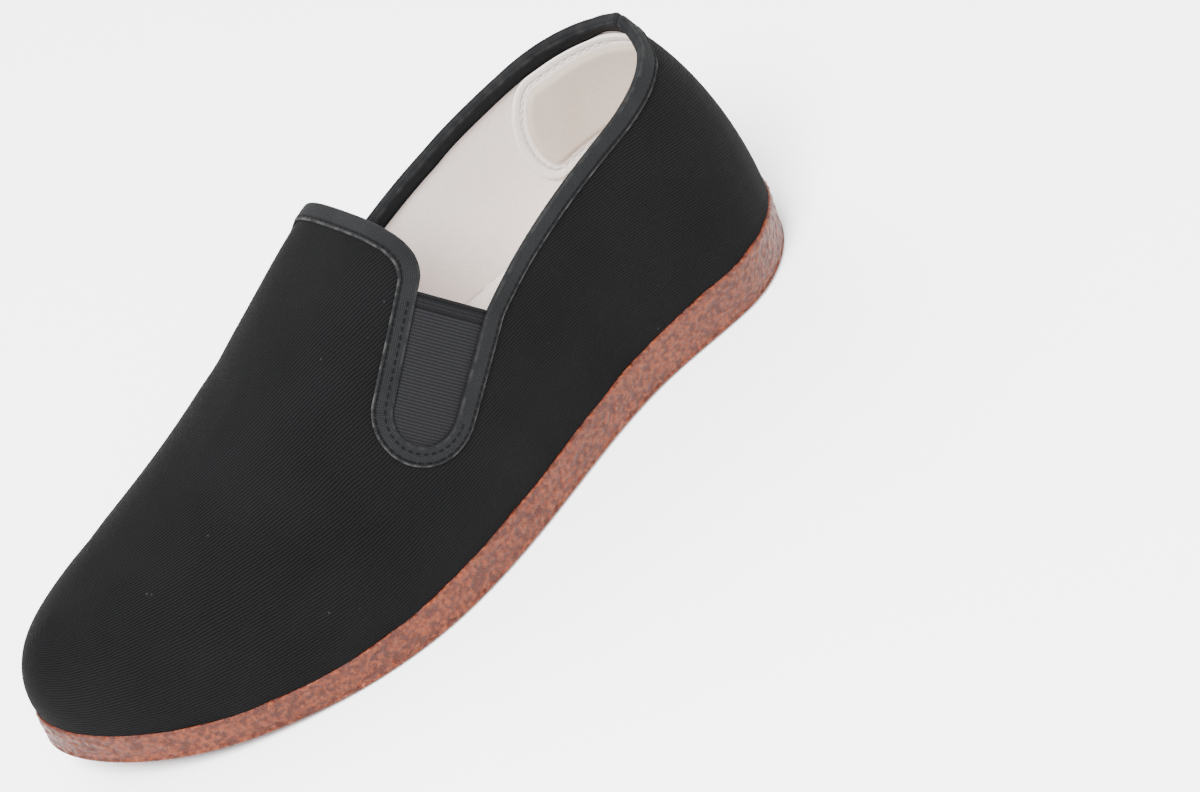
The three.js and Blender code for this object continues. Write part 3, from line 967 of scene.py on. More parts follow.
class Graph:
    """Builds one material out of nodes."""

    def __init__(self, name: str) -> None:
        """Makes an empty material.

        Args:
            name: Name of the material.
        """
        self.material = bpy.data.materials.new(name)
        self.material.use_nodes = True
        self.tree = self.material.node_tree
        self.tree.nodes.clear()

    def node(self, kind: str, settings: dict[str, Any], inputs: dict[Any, Any]) -> bpy.types.Node:
        """Adds one node.

        Args:
            kind: Blender's name of the node type.
            settings: Properties, which are set first.
            inputs: Values or signals for its sockets, by name or number.

        Returns:
            The node.
        """
        made = self.tree.nodes.new(kind)
        for key, value in settings.items():
            setattr(made, key, value)
        for key, value in inputs.items():
            if isinstance(value, Signal):
                self.tree.links.new(value.socket, made.inputs[key])
            else:
                made.inputs[key].default_value = value
        return made

    def signal(
        self, kind: str, settings: dict[str, Any], inputs: dict[Any, Any], output: Any = 0
    ) -> Signal:
        """Adds one node and gives one of its outputs."""
        return Signal(self, self.node(kind, settings, inputs).outputs[output])

    def math(self, operation: str, *values: Number) -> Signal:
        """Adds one Math node."""
        return self.signal("ShaderNodeMath", {"operation": operation}, dict(enumerate(values)))

    def mix(self, share: Number, low: Any, high: Any) -> Signal:
        """Blends two colours."""
        inputs = {0: share, 6: low, 7: high}
        return self.signal("ShaderNodeMix", {"data_type": "RGBA", "clamp_factor": True}, inputs, 2)

    def uv(self) -> tuple[Signal, Signal]:
        """Splits the texture place.

        Returns:
            Its two parts, in millimetres.
        """
        source = self.signal("ShaderNodeTexCoord", {}, {}, "UV")
        apart = self.node("ShaderNodeSeparateXYZ", {}, {0: source})
        return Signal(self, apart.outputs[0]), Signal(self, apart.outputs[1])

    def place(self) -> Signal:
        """Place on the shoe, in millimetres."""
        source = self.signal("ShaderNodeTexCoord", {}, {}, "Object")
        return self.signal("ShaderNodeVectorMath", {"operation": "SCALE"}, {0: source, "Scale": 1 / MM})

    def noise(self, size: float, detail: float = 2.0, rough: float = 0.5) -> Signal:
        """Soft noise from 0 to 1 whose lumps are about size millimetres wide."""
        inputs = {"Vector": self.place(), "Scale": 1 / size, "Detail": detail, "Roughness": rough}
        return self.signal("ShaderNodeTexNoise", {}, inputs, "Fac")

    def cells(self, size: float, feature: str = "F1") -> Signal:
        """Distance from the middles of random cells about size millimetres wide, in cell widths."""
        inputs = {"Vector": self.place(), "Scale": 1 / size}
        return self.signal("ShaderNodeTexVoronoi", {"feature": feature}, inputs, "Distance")

    def ripple(self, value: Signal, pitch: float) -> Signal:
        """Wave from 0 to 1 that repeats after pitch."""
        return self.math("SINE", value * (2 * math.pi / pitch)) * 0.5 + 0.5

    def near(self, value: Signal, target: float, reach: float) -> Signal:
        """1 where value is at target, falling to 0 at reach from it."""
        return self.math("MAXIMUM", 1 - self.math("ABSOLUTE", value - target) / reach, 0.0)

    def step(self, value: Signal, low: float, high: float) -> Signal:
        """Goes softly from 0 at low to 1 at high."""
        inputs = {"Value": value, "From Min": low, "From Max": high}
        return self.signal("ShaderNodeMapRange", {"interpolation_type": "SMOOTHSTEP"}, inputs)

    def above(self, value: Signal, limit: float) -> Signal:
        """1 where value is more than limit, or else 0."""
        return self.math("GREATER_THAN", value, limit)

    def finish(
        self, colour: Any, roughness: Number, height: Signal, fixed: dict[str, Any]
    ) -> bpy.types.Material:
        """Adds the shader and the output.

        Args:
            colour: Base colour.
            roughness: Roughness.
            height: Relief of the surface in millimetres.
            fixed: Values that are the same all over, set on the shader's own sockets.

        Returns:
            The material.
        """
        bump = self.signal("ShaderNodeBump", {}, {"Strength": 1.0, "Distance": MM, "Height": height})
        inputs = {"Base Color": colour, "Roughness": roughness, "Normal": bump, **fixed}
        shader = self.signal("ShaderNodeBsdfPrincipled", {}, inputs)
        self.node("ShaderNodeOutputMaterial", {}, {"Surface": shader})
        return self.material


@dataclass(frozen=True)
class Twill:
    """Black cotton twill with fine slanting lines and a little dust."""

    dark: Colour = shade(3, 3, 3)
    light: Colour = shade(22, 22, 23)
    dust: Colour = shade(46, 46, 48)
    pitch: float = 0.95
    lean: float = math.radians(-17)

    def build(self) -> bpy.types.Material:
        """Makes the material.

        Returns:
            The material.
        """
        graph = Graph("twill")
        u, v = graph.uv()
        across = u * math.sin(self.lean) - v * math.cos(self.lean) + graph.noise(9.0) * 1.2
        rib = graph.ripple(across, self.pitch)
        yarn = graph.ripple(u * math.cos(self.lean) + v * math.sin(self.lean) + rib * 0.2, 0.52)
        fuzz = graph.noise(0.5, 4.0, 0.7)
        cloud = graph.noise(26.0, 3.0)
        tone = rib * 0.42 + yarn * 0.12 + fuzz * 0.4 + cloud * 0.3 - 0.25
        speck = graph.above(0.03 - graph.cells(11.0), 0.0)
        colour = graph.mix(speck * 0.35, graph.mix(tone, self.dark, self.light), self.dust)
        height = rib * 0.1 + yarn * 0.035 + fuzz * 0.09
        fixed = {"Sheen Weight": 0.006, "Sheen Roughness": 0.5, "Specular IOR Level": 0.03}
        return graph.finish(colour, 0.94 - rib * 0.1, height, fixed)


@dataclass(frozen=True)
class Tape:
    """Charcoal binding tape: painted shade in the stitch holes where it is sewn down, and worn lighter
    along its edges.
    """

    dark: Colour = shade(9, 9, 10)
    light: Colour = shade(34, 35, 36)
    worn: Colour = shade(62, 61, 60)
    # Painted shade for the stitch holes.
    hole_shade_and_tone: Colour = shade(3, 3, 3)
    stitch_row: float = 4.2
    pitch: float = 2.4

    def build(self) -> bpy.types.Material:
        """Makes the material.

        Returns:
            The material.
        """
        graph = Graph("binding_tape")
        u, v = graph.uv()
        weft = graph.ripple(u, 0.62)
        warp = graph.ripple(v, 0.55)
        fuzz = graph.noise(0.5, 4.0, 0.7)
        cloud = graph.noise(14.0, 3.0)
        tone = weft * warp * 0.5 + fuzz * 0.4 + cloud * 0.4 - 0.2
        plain = graph.mix(tone, self.dark, self.light)
        patchy = graph.step(graph.noise(3.0, 3.0), 0.38, 0.68)
        edges = graph.near(v, 5.1, 0.5) + graph.near(v, -0.3, 0.7) * 0.3
        worn = graph.mix(edges * patchy * 0.7, plain, self.worn)
        # Painted shade: the stitch row is darkened a little all along and most in its holes.
        row = graph.near(v, self.stitch_row, 0.6)
        spot = graph.near(graph.math("FLOORED_MODULO", u, self.pitch), self.pitch / 2, 0.6)
        colour = graph.mix(row * (spot * 0.7 + 0.3), worn, self.hole_shade_and_tone)
        height = weft * warp * 0.09 + fuzz * 0.07 - row * spot * 0.2
        fixed = {"Sheen Weight": 0.01, "Sheen Roughness": 0.5, "Specular IOR Level": 0.06}
        return graph.finish(colour, 0.9 - warp * 0.12, height, fixed)


@dataclass(frozen=True)
class Elastic:
    """Dark grey elastic webbing with cross ribs and a folded top, with painted shade in the groove and
    under the fold's edge.
    """

    dark: Colour = shade(6, 6, 7)
    light: Colour = shade(29, 29, 31)
    hem: float = 4.2
    pitch: float = 0.95

    def build(self) -> bpy.types.Material:
        """Makes the material.

        Returns:
            The material.
        """
        graph = Graph("elastic")
        u, v = graph.uv()
        rib = graph.ripple(v, self.pitch)
        cord = graph.ripple(u, 0.7)
        fuzz = graph.noise(0.4, 3.0, 0.7)
        tone = rib * 0.5 + cord * 0.15 + fuzz * 0.35
        # Painted shade: dark lines in the groove and under the fold's edge, where the bump also sinks.
        lines = graph.near(v, 1.1, 0.35) + graph.near(v, self.hem, 0.4)
        hem = 1 - graph.step(v, self.hem - 0.2, self.hem + 0.2)
        shown = tone * (1 - hem * 0.45) - lines * 0.6
        height = rib * 0.12 + cord * rib * 0.06 + fuzz * 0.04 - lines * 0.12
        fixed = {"Sheen Weight": 0.01, "Sheen Roughness": 0.5, "Specular IOR Level": 0.06}
        return graph.finish(graph.mix(shown, self.dark, self.light), 0.8 - rib * 0.12, height, fixed)


@dataclass(frozen=True)
class Cotton:
    """Off-white cotton with a fine twill and a soft nap."""

    name: str = "lining_cotton"
    dark: Colour = shade(205, 190, 183)
    light: Colour = shade(250, 240, 236)
    pitch: float = 0.8

    def build(self) -> bpy.types.Material:
        """Makes the material.

        Returns:
            The material.
        """
        graph = Graph(self.name)
        u, v = graph.uv()
        line = graph.ripple(v + graph.noise(6.0) * 0.8, self.pitch)
        yarn = graph.ripple(u + v * 0.4, 0.7)
        nap = graph.noise(0.7, 4.0, 0.7)
        cloud = graph.noise(30.0, 3.0)
        tone = line * 0.4 + nap * 0.9 + cloud * 0.4 - 0.3
        height = line * 0.14 + yarn * 0.05 + nap * 0.3
        fixed = {"Sheen Weight": 0.1, "Sheen Roughness": 0.6, "Specular IOR Level": 0.2}
        return graph.finish(graph.mix(tone, self.dark, self.light), 0.95 - nap * 0.08, height, fixed)


@dataclass(frozen=True)
class PatchCloth:
    """White rim and beige middle of the heel patch, with painted shade along the stitch row.

    The second texture place is the way in from its edge.
    """

    rim: Colour = shade(232, 224, 219)
    middle: Colour = shade(192, 176, 162)
    # Painted shade of the stitch row, and the darker end of the nap and cloud tone.
    hole_shade_and_tone: Colour = shade(140, 126, 116)
    row: float = 3.4
    pad_starts: float = 5.2

    def build(self) -> bpy.types.Material:
        """Makes the material.

        Returns:
            The material.
        """
        graph = Graph("heel_patch_cloth")
        u, v = graph.uv()
        weave = graph.ripple(u, 0.8) * graph.ripple(v, 0.8)
        nap = graph.noise(0.6, 4.0, 0.7)
        cloud = graph.noise(12.0, 3.0)
        pad = graph.step(v, self.pad_starts - 0.6, self.pad_starts + 0.6)
        cloth = graph.mix(pad, self.rim, self.middle)
        # Painted shade along the stitch row and its groove; the nap and cloud add random tone.
        row = graph.near(v, self.row, 0.6)
        colour = graph.mix(row * 0.5 + (1 - nap) * 0.18 + cloud * 0.12, cloth, self.hole_shade_and_tone)
        height = weave * 0.1 + nap * 0.12 - row * 0.15
        fixed = {"Sheen Weight": 0.25, "Sheen Roughness": 0.6, "Specular IOR Level": 0.2}
        return graph.finish(colour, 0.95 - nap * 0.08, height, fixed)


@dataclass(frozen=True)
class Thread:
    """Sewing thread with its twist."""

    name: str
    colour: Colour

    def build(self) -> bpy.types.Material:
        """Makes the material.

        Returns:
            The material.
        """
        graph = Graph(self.name)
        twist = graph.noise(0.25, 2.0)
        colour = graph.mix(twist, dimmed(self.colour, 0.6), self.colour)
        fixed = {"Specular IOR Level": 0.08}
        return graph.finish(colour, 0.62 + twist * 0.2, twist * 0.08, fixed)


@dataclass(frozen=True)
class Gum:
    """Gum rubber with a crinkled, softly shining skin, whose colour has painted shade in the crevices
    and painted highlights on the crests.
    """

    name: str
    # deep is the dark end of the gum's own mottling; dimmed, it is also the painted shade in the
    # crevices.
    deep: Colour
    base: Colour
    # Painted highlight colour, laid on the crests of the pebbling.
    painted_highlight: Colour
    pebble: float = 1.5
    relief: float = 0.2
    bloom: float = 0.0
    dusty: Colour = shade(150, 120, 105)

    def build(self) -> bpy.types.Material:
        """Makes the material.

        Returns:
            The material.
        """
        graph = Graph(self.name)
        pebble = 1 - graph.cells(self.pebble, "SMOOTH_F1")
        crinkle = graph.noise(self.pebble * 0.8, 3.0, 0.6)
        fine = graph.noise(0.5, 3.0, 0.6)
        cloud = graph.noise(18.0, 4.0, 0.6)
        dust = graph.step(graph.noise(5.0, 5.0, 0.65), 0.55, 0.8)
        relief = graph.step(pebble * 0.6 + crinkle * 0.7, 0.3, 1.0)
        body = graph.mix(graph.step(cloud, 0.3, 0.75), self.deep, self.base)
        # Painted shade: the crevices of the pebbling are darkened.
        dark = graph.mix(1 - relief, body, dimmed(self.deep, 0.66))
        # Painted highlight: the crests of the pebbling are lightened.
        with_painted_light = graph.mix(graph.step(relief, 0.3, 1.0) * 0.3, dark, self.painted_highlight)
        colour = graph.mix(dust * self.bloom, with_painted_light, self.dusty)
        height = relief * self.relief + fine * self.relief * 0.2
        fixed = {
            "Subsurface Weight": 0.03,
            "Subsurface Scale": 0.001,
            "Subsurface Radius": (1.0, 0.3, 0.1),
            "Coat Weight": 0.03,
            "Coat Roughness": 0.3,
            "Specular IOR Level": 0.25,
        }
        return graph.finish(colour, 0.5 - relief * 0.12 + fine * 0.1, height, fixed)


class Side(Enum):
    """The two sides of the left foot."""

    OUTER = 1
    INNER = -1


def attach(piece: bpy.types.Object, slot: str, *nodes: str) -> None:
    """Rides a piece on the shoe and says which solids it stands for.

    Args:
        piece: The piece.
        slot: Not used.
        nodes: Solids that it replaces.
    """
    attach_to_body(piece, "root")
    if nodes:
        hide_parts(*nodes)
    LOG.info("%s: %d faces", piece.name, len(piece.data.polygons))


@dataclass
class Upper:
    """Twill outside and cotton lining, two closed sheets over the whole last."""

    last: Last
    opening: Opening
    stations: int = 220
    steps: int = 150
    hidden_edge: float = 0.5
    twill_depth: float = 0.8
    lining_start: float = 0.84

    def sheet(
        self, name: str, outer: float, inner: float, material: bpy.types.Material
    ) -> bpy.types.Object:
        """Makes one sheet of cloth.

        Args:
            name: Name of the piece.
            outer: Grow of its outside.
            inner: Grow of its inside.
            material: Its finish.

        Returns:
            The piece.
        """
        stations = np.linspace(0, 1, self.stations + 1)
        angles = np.linspace(-QUARTER, QUARTER, self.steps + 1)
        theta, psi = np.meshgrid(stations, angles, indexing="ij")
        front = self.last.point(theta, psi, outer)
        back = self.last.point(theta, psi, inner)
        inside = self.opening.into_cloth(theta, psi) > self.hidden_edge
        keep = inside[:-1, :-1] & inside[1:, :-1] & inside[1:, 1:] & inside[:-1, 1:]
        uv = np.stack([lengths(front, 0, self.stations // 2), lengths(front, 1, self.steps // 2)], -1)
        surface = Surface(self.last)
        surface.add_shell(front, back, uv, keep)
        return surface.to_object(name, [material])

    def build(self) -> None:
        """Makes both sheets."""
        twill = self.sheet("upper_twill", 0.0, -self.twill_depth, Twill().build())
        attach(twill, "twill", "upper")
        lining = self.sheet("upper_lining", -self.lining_start, -self.last.wall, Cotton().build())
        attach(lining, "lining_cotton")


def lengths(points: Array, axis: int, start: int) -> Array:
    """Lengths along a grid's lines.

    Args:
        points: Grid of points.
        axis: 0 to go along the columns, 1 to go along the rows.
        start: Number of the row or column from which lengths are measured.

    Returns:
        One length for each point.
    """
    steps = np.linalg.norm(np.diff(points, axis=axis), axis=-1)
    total = np.concatenate([np.zeros_like(np.take(steps, [0], axis)), np.cumsum(steps, axis)], axis)
    return total - np.take(total, [start], axis)


# The tape's outline in a cut across the edge: distance into the cloth and height over the twill.
TAPE_SECTION = (
    (5.2, 0.35), (5.28, 0.56), (5.12, 0.74), (4.85, 0.8), (4.5, 0.76), (4.2, 0.6), (3.9, 0.77),
    (3.4, 0.83), (2.4, 0.87), (1.2, 0.85), (0.4, 0.82), (-0.1, 0.73), (-0.45, 0.5), (-0.7, 0.1),
    (-0.8, -0.4), (-0.82, -0.75), (-0.8, -1.1), (-0.7, -1.6), (-0.45, -2.0), (-0.1, -2.23),
    (0.4, -2.31), (1.5, -2.34), (3.0, -2.33), (3.9, -2.27), (4.2, -2.1), (4.5, -2.26), (4.9, -2.28),
    (5.2, -2.05), (5.2, -1.86), (4.5, -1.8), (1.5, -1.8), (0.2, -1.78), (-0.3, -1.5), (-0.32, -0.75),
    (-0.3, 0.0), (0.2, 0.28), (1.5, 0.3), (4.5, 0.3),
)
# The point of that outline along which the tape's length is measured.
MEASURED = 10


@dataclass
class Binding:
    """Folded tape round the whole edge, with its stitches."""

    last: Last
    opening: Opening
    samples: int = 620
    seam: float = 0.55
    peak: float = 2.0
    peak_reach: float = 4.0
    fold_out: float = 0.8
    peak_fade: float = 4.5
    tuck: float = 0.16
    tuck_reach: float = 0.7
    row: float = 4.2
    front_row: float = 1.5
    pitch: float = 2.4
    stitch_length: float = 1.55
    stitch_radius: float = 0.32
    thread_outside: float = 0.66
    front_thread_outside: float = 0.8
    thread_inside: float = -2.16
    front_row_top: float = -19.0
    slot_reach: float = 20.0

    def build(self) -> None:
        """Makes the tape and its rows of stitches."""
        theta, psi = self.opening.trace(self.samples)
        theta[0] = self.seam * theta[1]
        theta[-1] = self.seam * theta[-2]
        levels = np.array([level for level, _ in TAPE_SECTION])
        walked = {level: self.opening.walk(theta, psi, level) for level in set(levels.tolist())}
        rows = [self.last.point(*walked[level], grow) for level, grow in TAPE_SECTION]
        points = np.stack(rows, 1)
        self.pinch(points)
        run = lengths(points[:, MEASURED][:, None], 0, 0)
        uv = np.stack(np.broadcast_arrays(run, levels[None, :]), -1)
        surface = Surface(self.last)
        index = surface.add_points(points, uv)
        surface.add_grid(index, close=True)
        surface.add_faces([index[0]])
        surface.add_faces([index[-1][::-1]])
        tape = surface.to_object("edge_binding_tape", [Tape().build()])
        attach(tape, "binding_tape", "edge_binding")
        self.sew(theta, psi)

    def pinch(self, points: Array) -> None:
        """Draws the tape up to a small point where its ends meet at the heel, and rounds its ends in.

        Args:
            points: Grid of the tape's points, which are moved.
        """
        run = lengths(points[:, MEASURED][:, None], 0, 0)[:, 0]
        to_end = np.minimum(run, run[-1] - run)
        below = [max(0.0, level + self.fold_out) / self.peak_fade for level, _ in TAPE_SECTION]
        rim = np.array([max(0.0, 1 - share) for share in below])
        lift = self.peak * np.exp(-((to_end / self.peak_reach) ** 2))
        points[..., 2] += lift[:, None] * rim
        middle = points.mean(axis=1, keepdims=True)
        tuck = self.tuck * np.exp(-((to_end / self.tuck_reach) ** 2))
        points += (middle - points) * tuck[:, None, None]

    def sew(self, theta: Array, psi: Array) -> None:
        """Makes the stitches.

        Args:
            theta: Places along the edge.
            psi: The same places round the girth.
        """
        outside = Surface(self.last)
        stitch = (self.pitch, self.stitch_length, self.stitch_radius)
        low = self.opening.walk(theta, psi, self.row)
        out = self.last.normals(*low)
        outside.add_stitches(self.last.point(*low, self.thread_outside), out, *stitch)
        high = self.opening.walk(theta, psi, self.front_row)
        on_edge = self.last.point(theta, psi)
        for side in Side:
            slot = self.opening.to_slot(on_edge, side.value)
            near = np.where(psi < 0, -1, 1) == side.value
            chosen = near & (np.abs(slot[:, 2]) < self.slot_reach) & (slot[:, 1] > self.front_row_top)
            chosen &= (slot[:, 0] > 0) | (slot[:, 1] > self.opening.straight)
            spots = (high[0][chosen], high[1][chosen])
            path = self.last.point(*spots, self.front_thread_outside)
            outside.add_stitches(path, self.last.normals(*spots), *stitch)
        dark = Thread("dark_thread", shade(4, 4, 5)).build()
        attach(outside.to_object("binding_stitches_outside", [dark]), "binding_tape")
        inside = Surface(self.last)
        inside.add_stitches(self.last.point(*low, self.thread_inside), -out, *stitch)
        attach(inside.to_object("binding_stitches_inside", [dark]), "binding_tape")


@dataclass
class Gore:
    """Elastic webbing in one slot, with its cross ribs and folded top."""

    last: Last
    opening: Opening
    side: Side
    material: bpy.types.Material
    seat: float = 0.52
    drop: float = 2.0
    thickness: float = 0.9
    rib_pitch: float = 0.95
    rib_height: float = 0.05
    hem: float = 4.2
    hem_swell: float = 0.12
    groove_depth: float = 0.16
    groove_at: float = 1.1
    groove_width: float = 0.25
    edge_thinning: float = 0.25
    edge_reach: float = 0.6
    plain_width: float = 16.0
    least_width: float = 1e-3
    theta_stride: float = 0.05
    psi_stride: float = 0.3
    row_spacing: float = 0.22
    rounds: int = 14
    foot_rows: int = 45
    columns: int = 32

    def in_slot(self, theta: Array, psi: Array) -> Array:
        """Places of the plain skin in the slot's frame, across it and down it."""
        skin = self.last.skin(self.last.along_of(theta), psi, 0.0)
        return self.opening.to_slot(skin, self.side.value)[..., :2]

    def on_last(self, targets: Array) -> tuple[Array, Array]:
        """Finds the places on the last under points of the slot's frame, by Newton's method.

        Args:
            targets: Places across the slot and down it.

        Returns:
            Their theta and psi.
        """
        theta = np.full(targets.shape[:-1], self.last.theta_of(self.opening.gore_share))
        climb = self.last.psi_at_climb(self.opening.gore_share, self.opening.gore_rise)
        psi = np.full(targets.shape[:-1], self.side.value * climb)
        for _ in range(self.rounds):
            short = targets - self.in_slot(theta, psi)
            by_theta, by_psi = slopes(self.in_slot, theta, psi)
            det = by_theta[..., 0] * by_psi[..., 1] - by_theta[..., 1] * by_psi[..., 0]
            d_theta = (short[..., 0] * by_psi[..., 1] - short[..., 1] * by_psi[..., 0]) / det
            d_psi = (by_theta[..., 0] * short[..., 1] - by_theta[..., 1] * short[..., 0]) / det
            theta = theta + np.clip(d_theta, -self.theta_stride, self.theta_stride)
            psi = psi + np.clip(d_psi, -self.psi_stride, self.psi_stride)
        return theta, psi

    def build(self) -> None:
        """Makes the webbing."""
        half = self.opening.slot_width / 2 - self.seat
        top = self.drop - self.opening.slot_depth / 2
        straight = self.opening.straight
        down = np.concatenate([np.arange(top, straight, self.row_spacing), [straight]])
        turn = np.linspace(0, QUARTER, self.foot_rows + 1)[1:]
        down = np.concatenate([down, straight + half * np.sin(turn)])
        width = np.concatenate([np.ones(len(down) - len(turn)), np.cos(turn)])
        width = np.maximum(width, self.least_width)
        share = np.linspace(0, 1, self.columns + 1)
        right = np.where(down < straight, self.opening.slot_front(down) - self.seat, half * width)
        left = -half * width
        across = left[:, None] + (right - left)[:, None] * share[None]
        targets = np.stack([across, np.broadcast_to(down[:, None], across.shape)], -1)
        theta, psi = self.on_last(targets)
        deep = (down - top)[:, None]
        rib = self.rib_height * np.cos(2 * np.pi * deep / self.rib_pitch)
        groove = self.groove_depth * np.exp(-(((deep - self.groove_at) / self.groove_width) ** 2))
        hem = np.where(deep < self.hem, self.hem_swell - groove, rib)
        to_edge = np.minimum(share, 1 - share)[None] * self.plain_width
        edge = self.edge_thinning * np.exp(-((to_edge / self.edge_reach) ** 2))
        middle = (self.last.wall - self.thickness) / 2
        swell = hem - edge
        front = self.last.point(theta, psi, -middle + swell)
        back = self.last.point(theta, psi, -middle - self.thickness - swell)
        uv = np.stack(np.broadcast_arrays(across, deep), -1)
        surface = Surface(self.last)
        surface.add_shell(front, back, uv)
        node = f"gore_{self.side.name.lower()}"
        attach(surface.to_object(f"{node}_webbing", [self.material]), "elastic", node)


@dataclass
class HeelPatch:
    """Padded patch inside the heel: thin sewn rim and a raised pad."""

    last: Last
    opening: Opening
    reach: float = 36.0
    depth: float = 44.0
    under_tape: float = 5.8
    outside: float = -1.8
    rim_thickness: float = 0.75
    pad_thickness: float = 1.6
    row: float = 3.4
    pitch: float = 3.0
    stitch_length: float = 1.9
    stitch_radius: float = 0.26
    rim_round: float = 0.9
    rim_least: float = 0.25
    pad_starts: float = 4.6
    pad_slope: float = 3.2
    groove_depth: float = 0.22
    groove_width: float = 0.5
    rows: int = 70
    half_columns: int = 80
    start_gap: float = 0.5
    stitch_rise: float = 0.1
    front_limit: float = 0.6
    arc_count: int = 60
    line_count: int = 40
    outline_count: int = 300
    rounds: int = 8
    halvings: int = 32

    def top(self, x: Array) -> Array:
        """Height of the patch's top edge."""
        start = self.opening.collar_back + self.opening.peak_length
        return self.opening.collar_at(np.maximum(x, start)) - self.under_tape

    def front(self, share: Array) -> Array:
        """How far forward the patch reaches.

        Args:
            share: Shares of its height.

        Returns:
            One lengthwise place for each share.
        """
        tip = self.depth / 4
        lift = np.clip(np.abs(2 * share - 1), 0, 1)
        return self.opening.collar_back + self.reach - tip + tip * np.sqrt(1 - lift**2)

    def on_wall(self, theta: Array, share: Array) -> tuple[Array, Array]:
        """Places on the wall at a share of the patch's height.

        Args:
            theta: Places along the shoe.
            share: Shares of the patch's height.

        Returns:
            Their angle round the girth and their lengthwise place.
        """
        along = self.last.along_of(theta)
        x = np.full(np.broadcast(theta, share).shape, self.opening.collar_back)
        for _ in range(self.rounds):
            height = self.top(x) - self.depth * (1 - share)
            psi = self.last.psi_at_height(along, height, self.outside)
            x = self.last.skin(along, psi, self.outside)[..., 0]
        return psi, x

    def reach_to(self, x: Array, share: Array) -> Array:
        """Finds where the wall has a lengthwise place.

        Args:
            x: Lengthwise places.
            share: Shares of the patch's height.

        Returns:
            Theta of each.
        """
        low = np.zeros(x.shape)
        high = np.full(x.shape, self.front_limit)
        for _ in range(self.halvings):
            middle = (low + high) / 2
            ahead = self.on_wall(middle, share)[1] > x
            high = np.where(ahead, middle, high)
            low = np.where(ahead, low, middle)
        return (low + high) / 2

    def way_in(self, x: Array, up: Array) -> Array:
        """Distance of places from the patch's outline, seen from the side.

        Args:
            x: Lengthwise places.
            up: Their heights over the patch's foot.

        Returns:
            One distance for each place.
        """
        share = np.linspace(0, 1, self.outline_count)
        line = np.stack([self.front(share), share * self.depth], -1)
        to_front = np.full(x.shape, np.inf)
        for point in line:
            to_front = np.minimum(to_front, np.hypot(x - point[0], up - point[1]))
        return np.minimum(to_front, np.minimum(up, self.depth - up))

    def build(self) -> None:
        """Makes the patch and its stitches."""
        share = 0.5 - 0.5 * np.cos(np.linspace(0, np.pi, self.rows))
        tips = self.reach_to(self.front(share), share)
        sweep = np.linspace(-1, 1, 2 * self.half_columns + 1)
        theta = np.abs(sweep)[:, None] * tips[None]
        shares = np.broadcast_to(share, theta.shape)
        psi, x = self.on_wall(theta, shares)
        psi = psi * np.where(sweep < 0, -1, 1)[:, None]
        from_edge = self.way_in(x, shares * self.depth)
        rounded = np.sqrt(np.minimum(from_edge / self.rim_round, 1)) + self.rim_least
        rim = self.rim_thickness * np.minimum(1, rounded)
        pad = np.clip((from_edge - self.pad_starts) / self.pad_slope, 0, 1)
        pad = pad * pad * (3 - 2 * pad) * (self.pad_thickness - self.rim_thickness)
        groove = self.groove_depth * np.exp(-(((from_edge - self.row) / self.groove_width) ** 2))
        front = self.last.point(theta, psi, self.outside - rim - pad + groove)
        back = self.last.point(theta, psi, self.outside)
        uv = np.stack([lengths(front, 0, self.half_columns), from_edge], -1)
        surface = Surface(self.last)
        surface.add_shell(front, back, uv)
        patch = surface.to_object("heel_patch_pad", [PatchCloth().build()])
        attach(patch, "lining_cotton", "heel_patch")
        self.sew()

    def sew(self) -> None:
        """Makes the row of stitches round the pad."""
        half = self.depth / 2 - self.row
        turn = np.linspace(0, np.pi, self.arc_count)
        tip = self.depth / 4 - self.row / 2
        bend = self.opening.collar_back + self.reach - self.depth / 4 - self.row / 2
        straight = np.linspace(self.opening.collar_back + self.start_gap, bend, self.line_count)[:-1]
        x = np.concatenate([straight, bend + tip * np.sin(turn), straight[::-1]])
        lift = np.concatenate([0 * straight + half, half * np.cos(turn), 0 * straight - half])
        share = (lift + self.depth / 2) / self.depth
        theta = self.reach_to(x, share)
        psi, _ = self.on_wall(theta, share)
        surface = Surface(self.last)
        grow = self.outside - self.rim_thickness + self.stitch_rise
        for side in Side:
            path = self.last.point(theta, side.value * psi, grow)
            out = -self.last.normals(theta, side.value * psi)
            surface.add_stitches(path, out, self.pitch, self.stitch_length, self.stitch_radius)
        pale = Thread("pale_thread", shade(222, 212, 204)).build()
        attach(surface.to_object("heel_patch_stitches", [pale]), "lining_cotton")


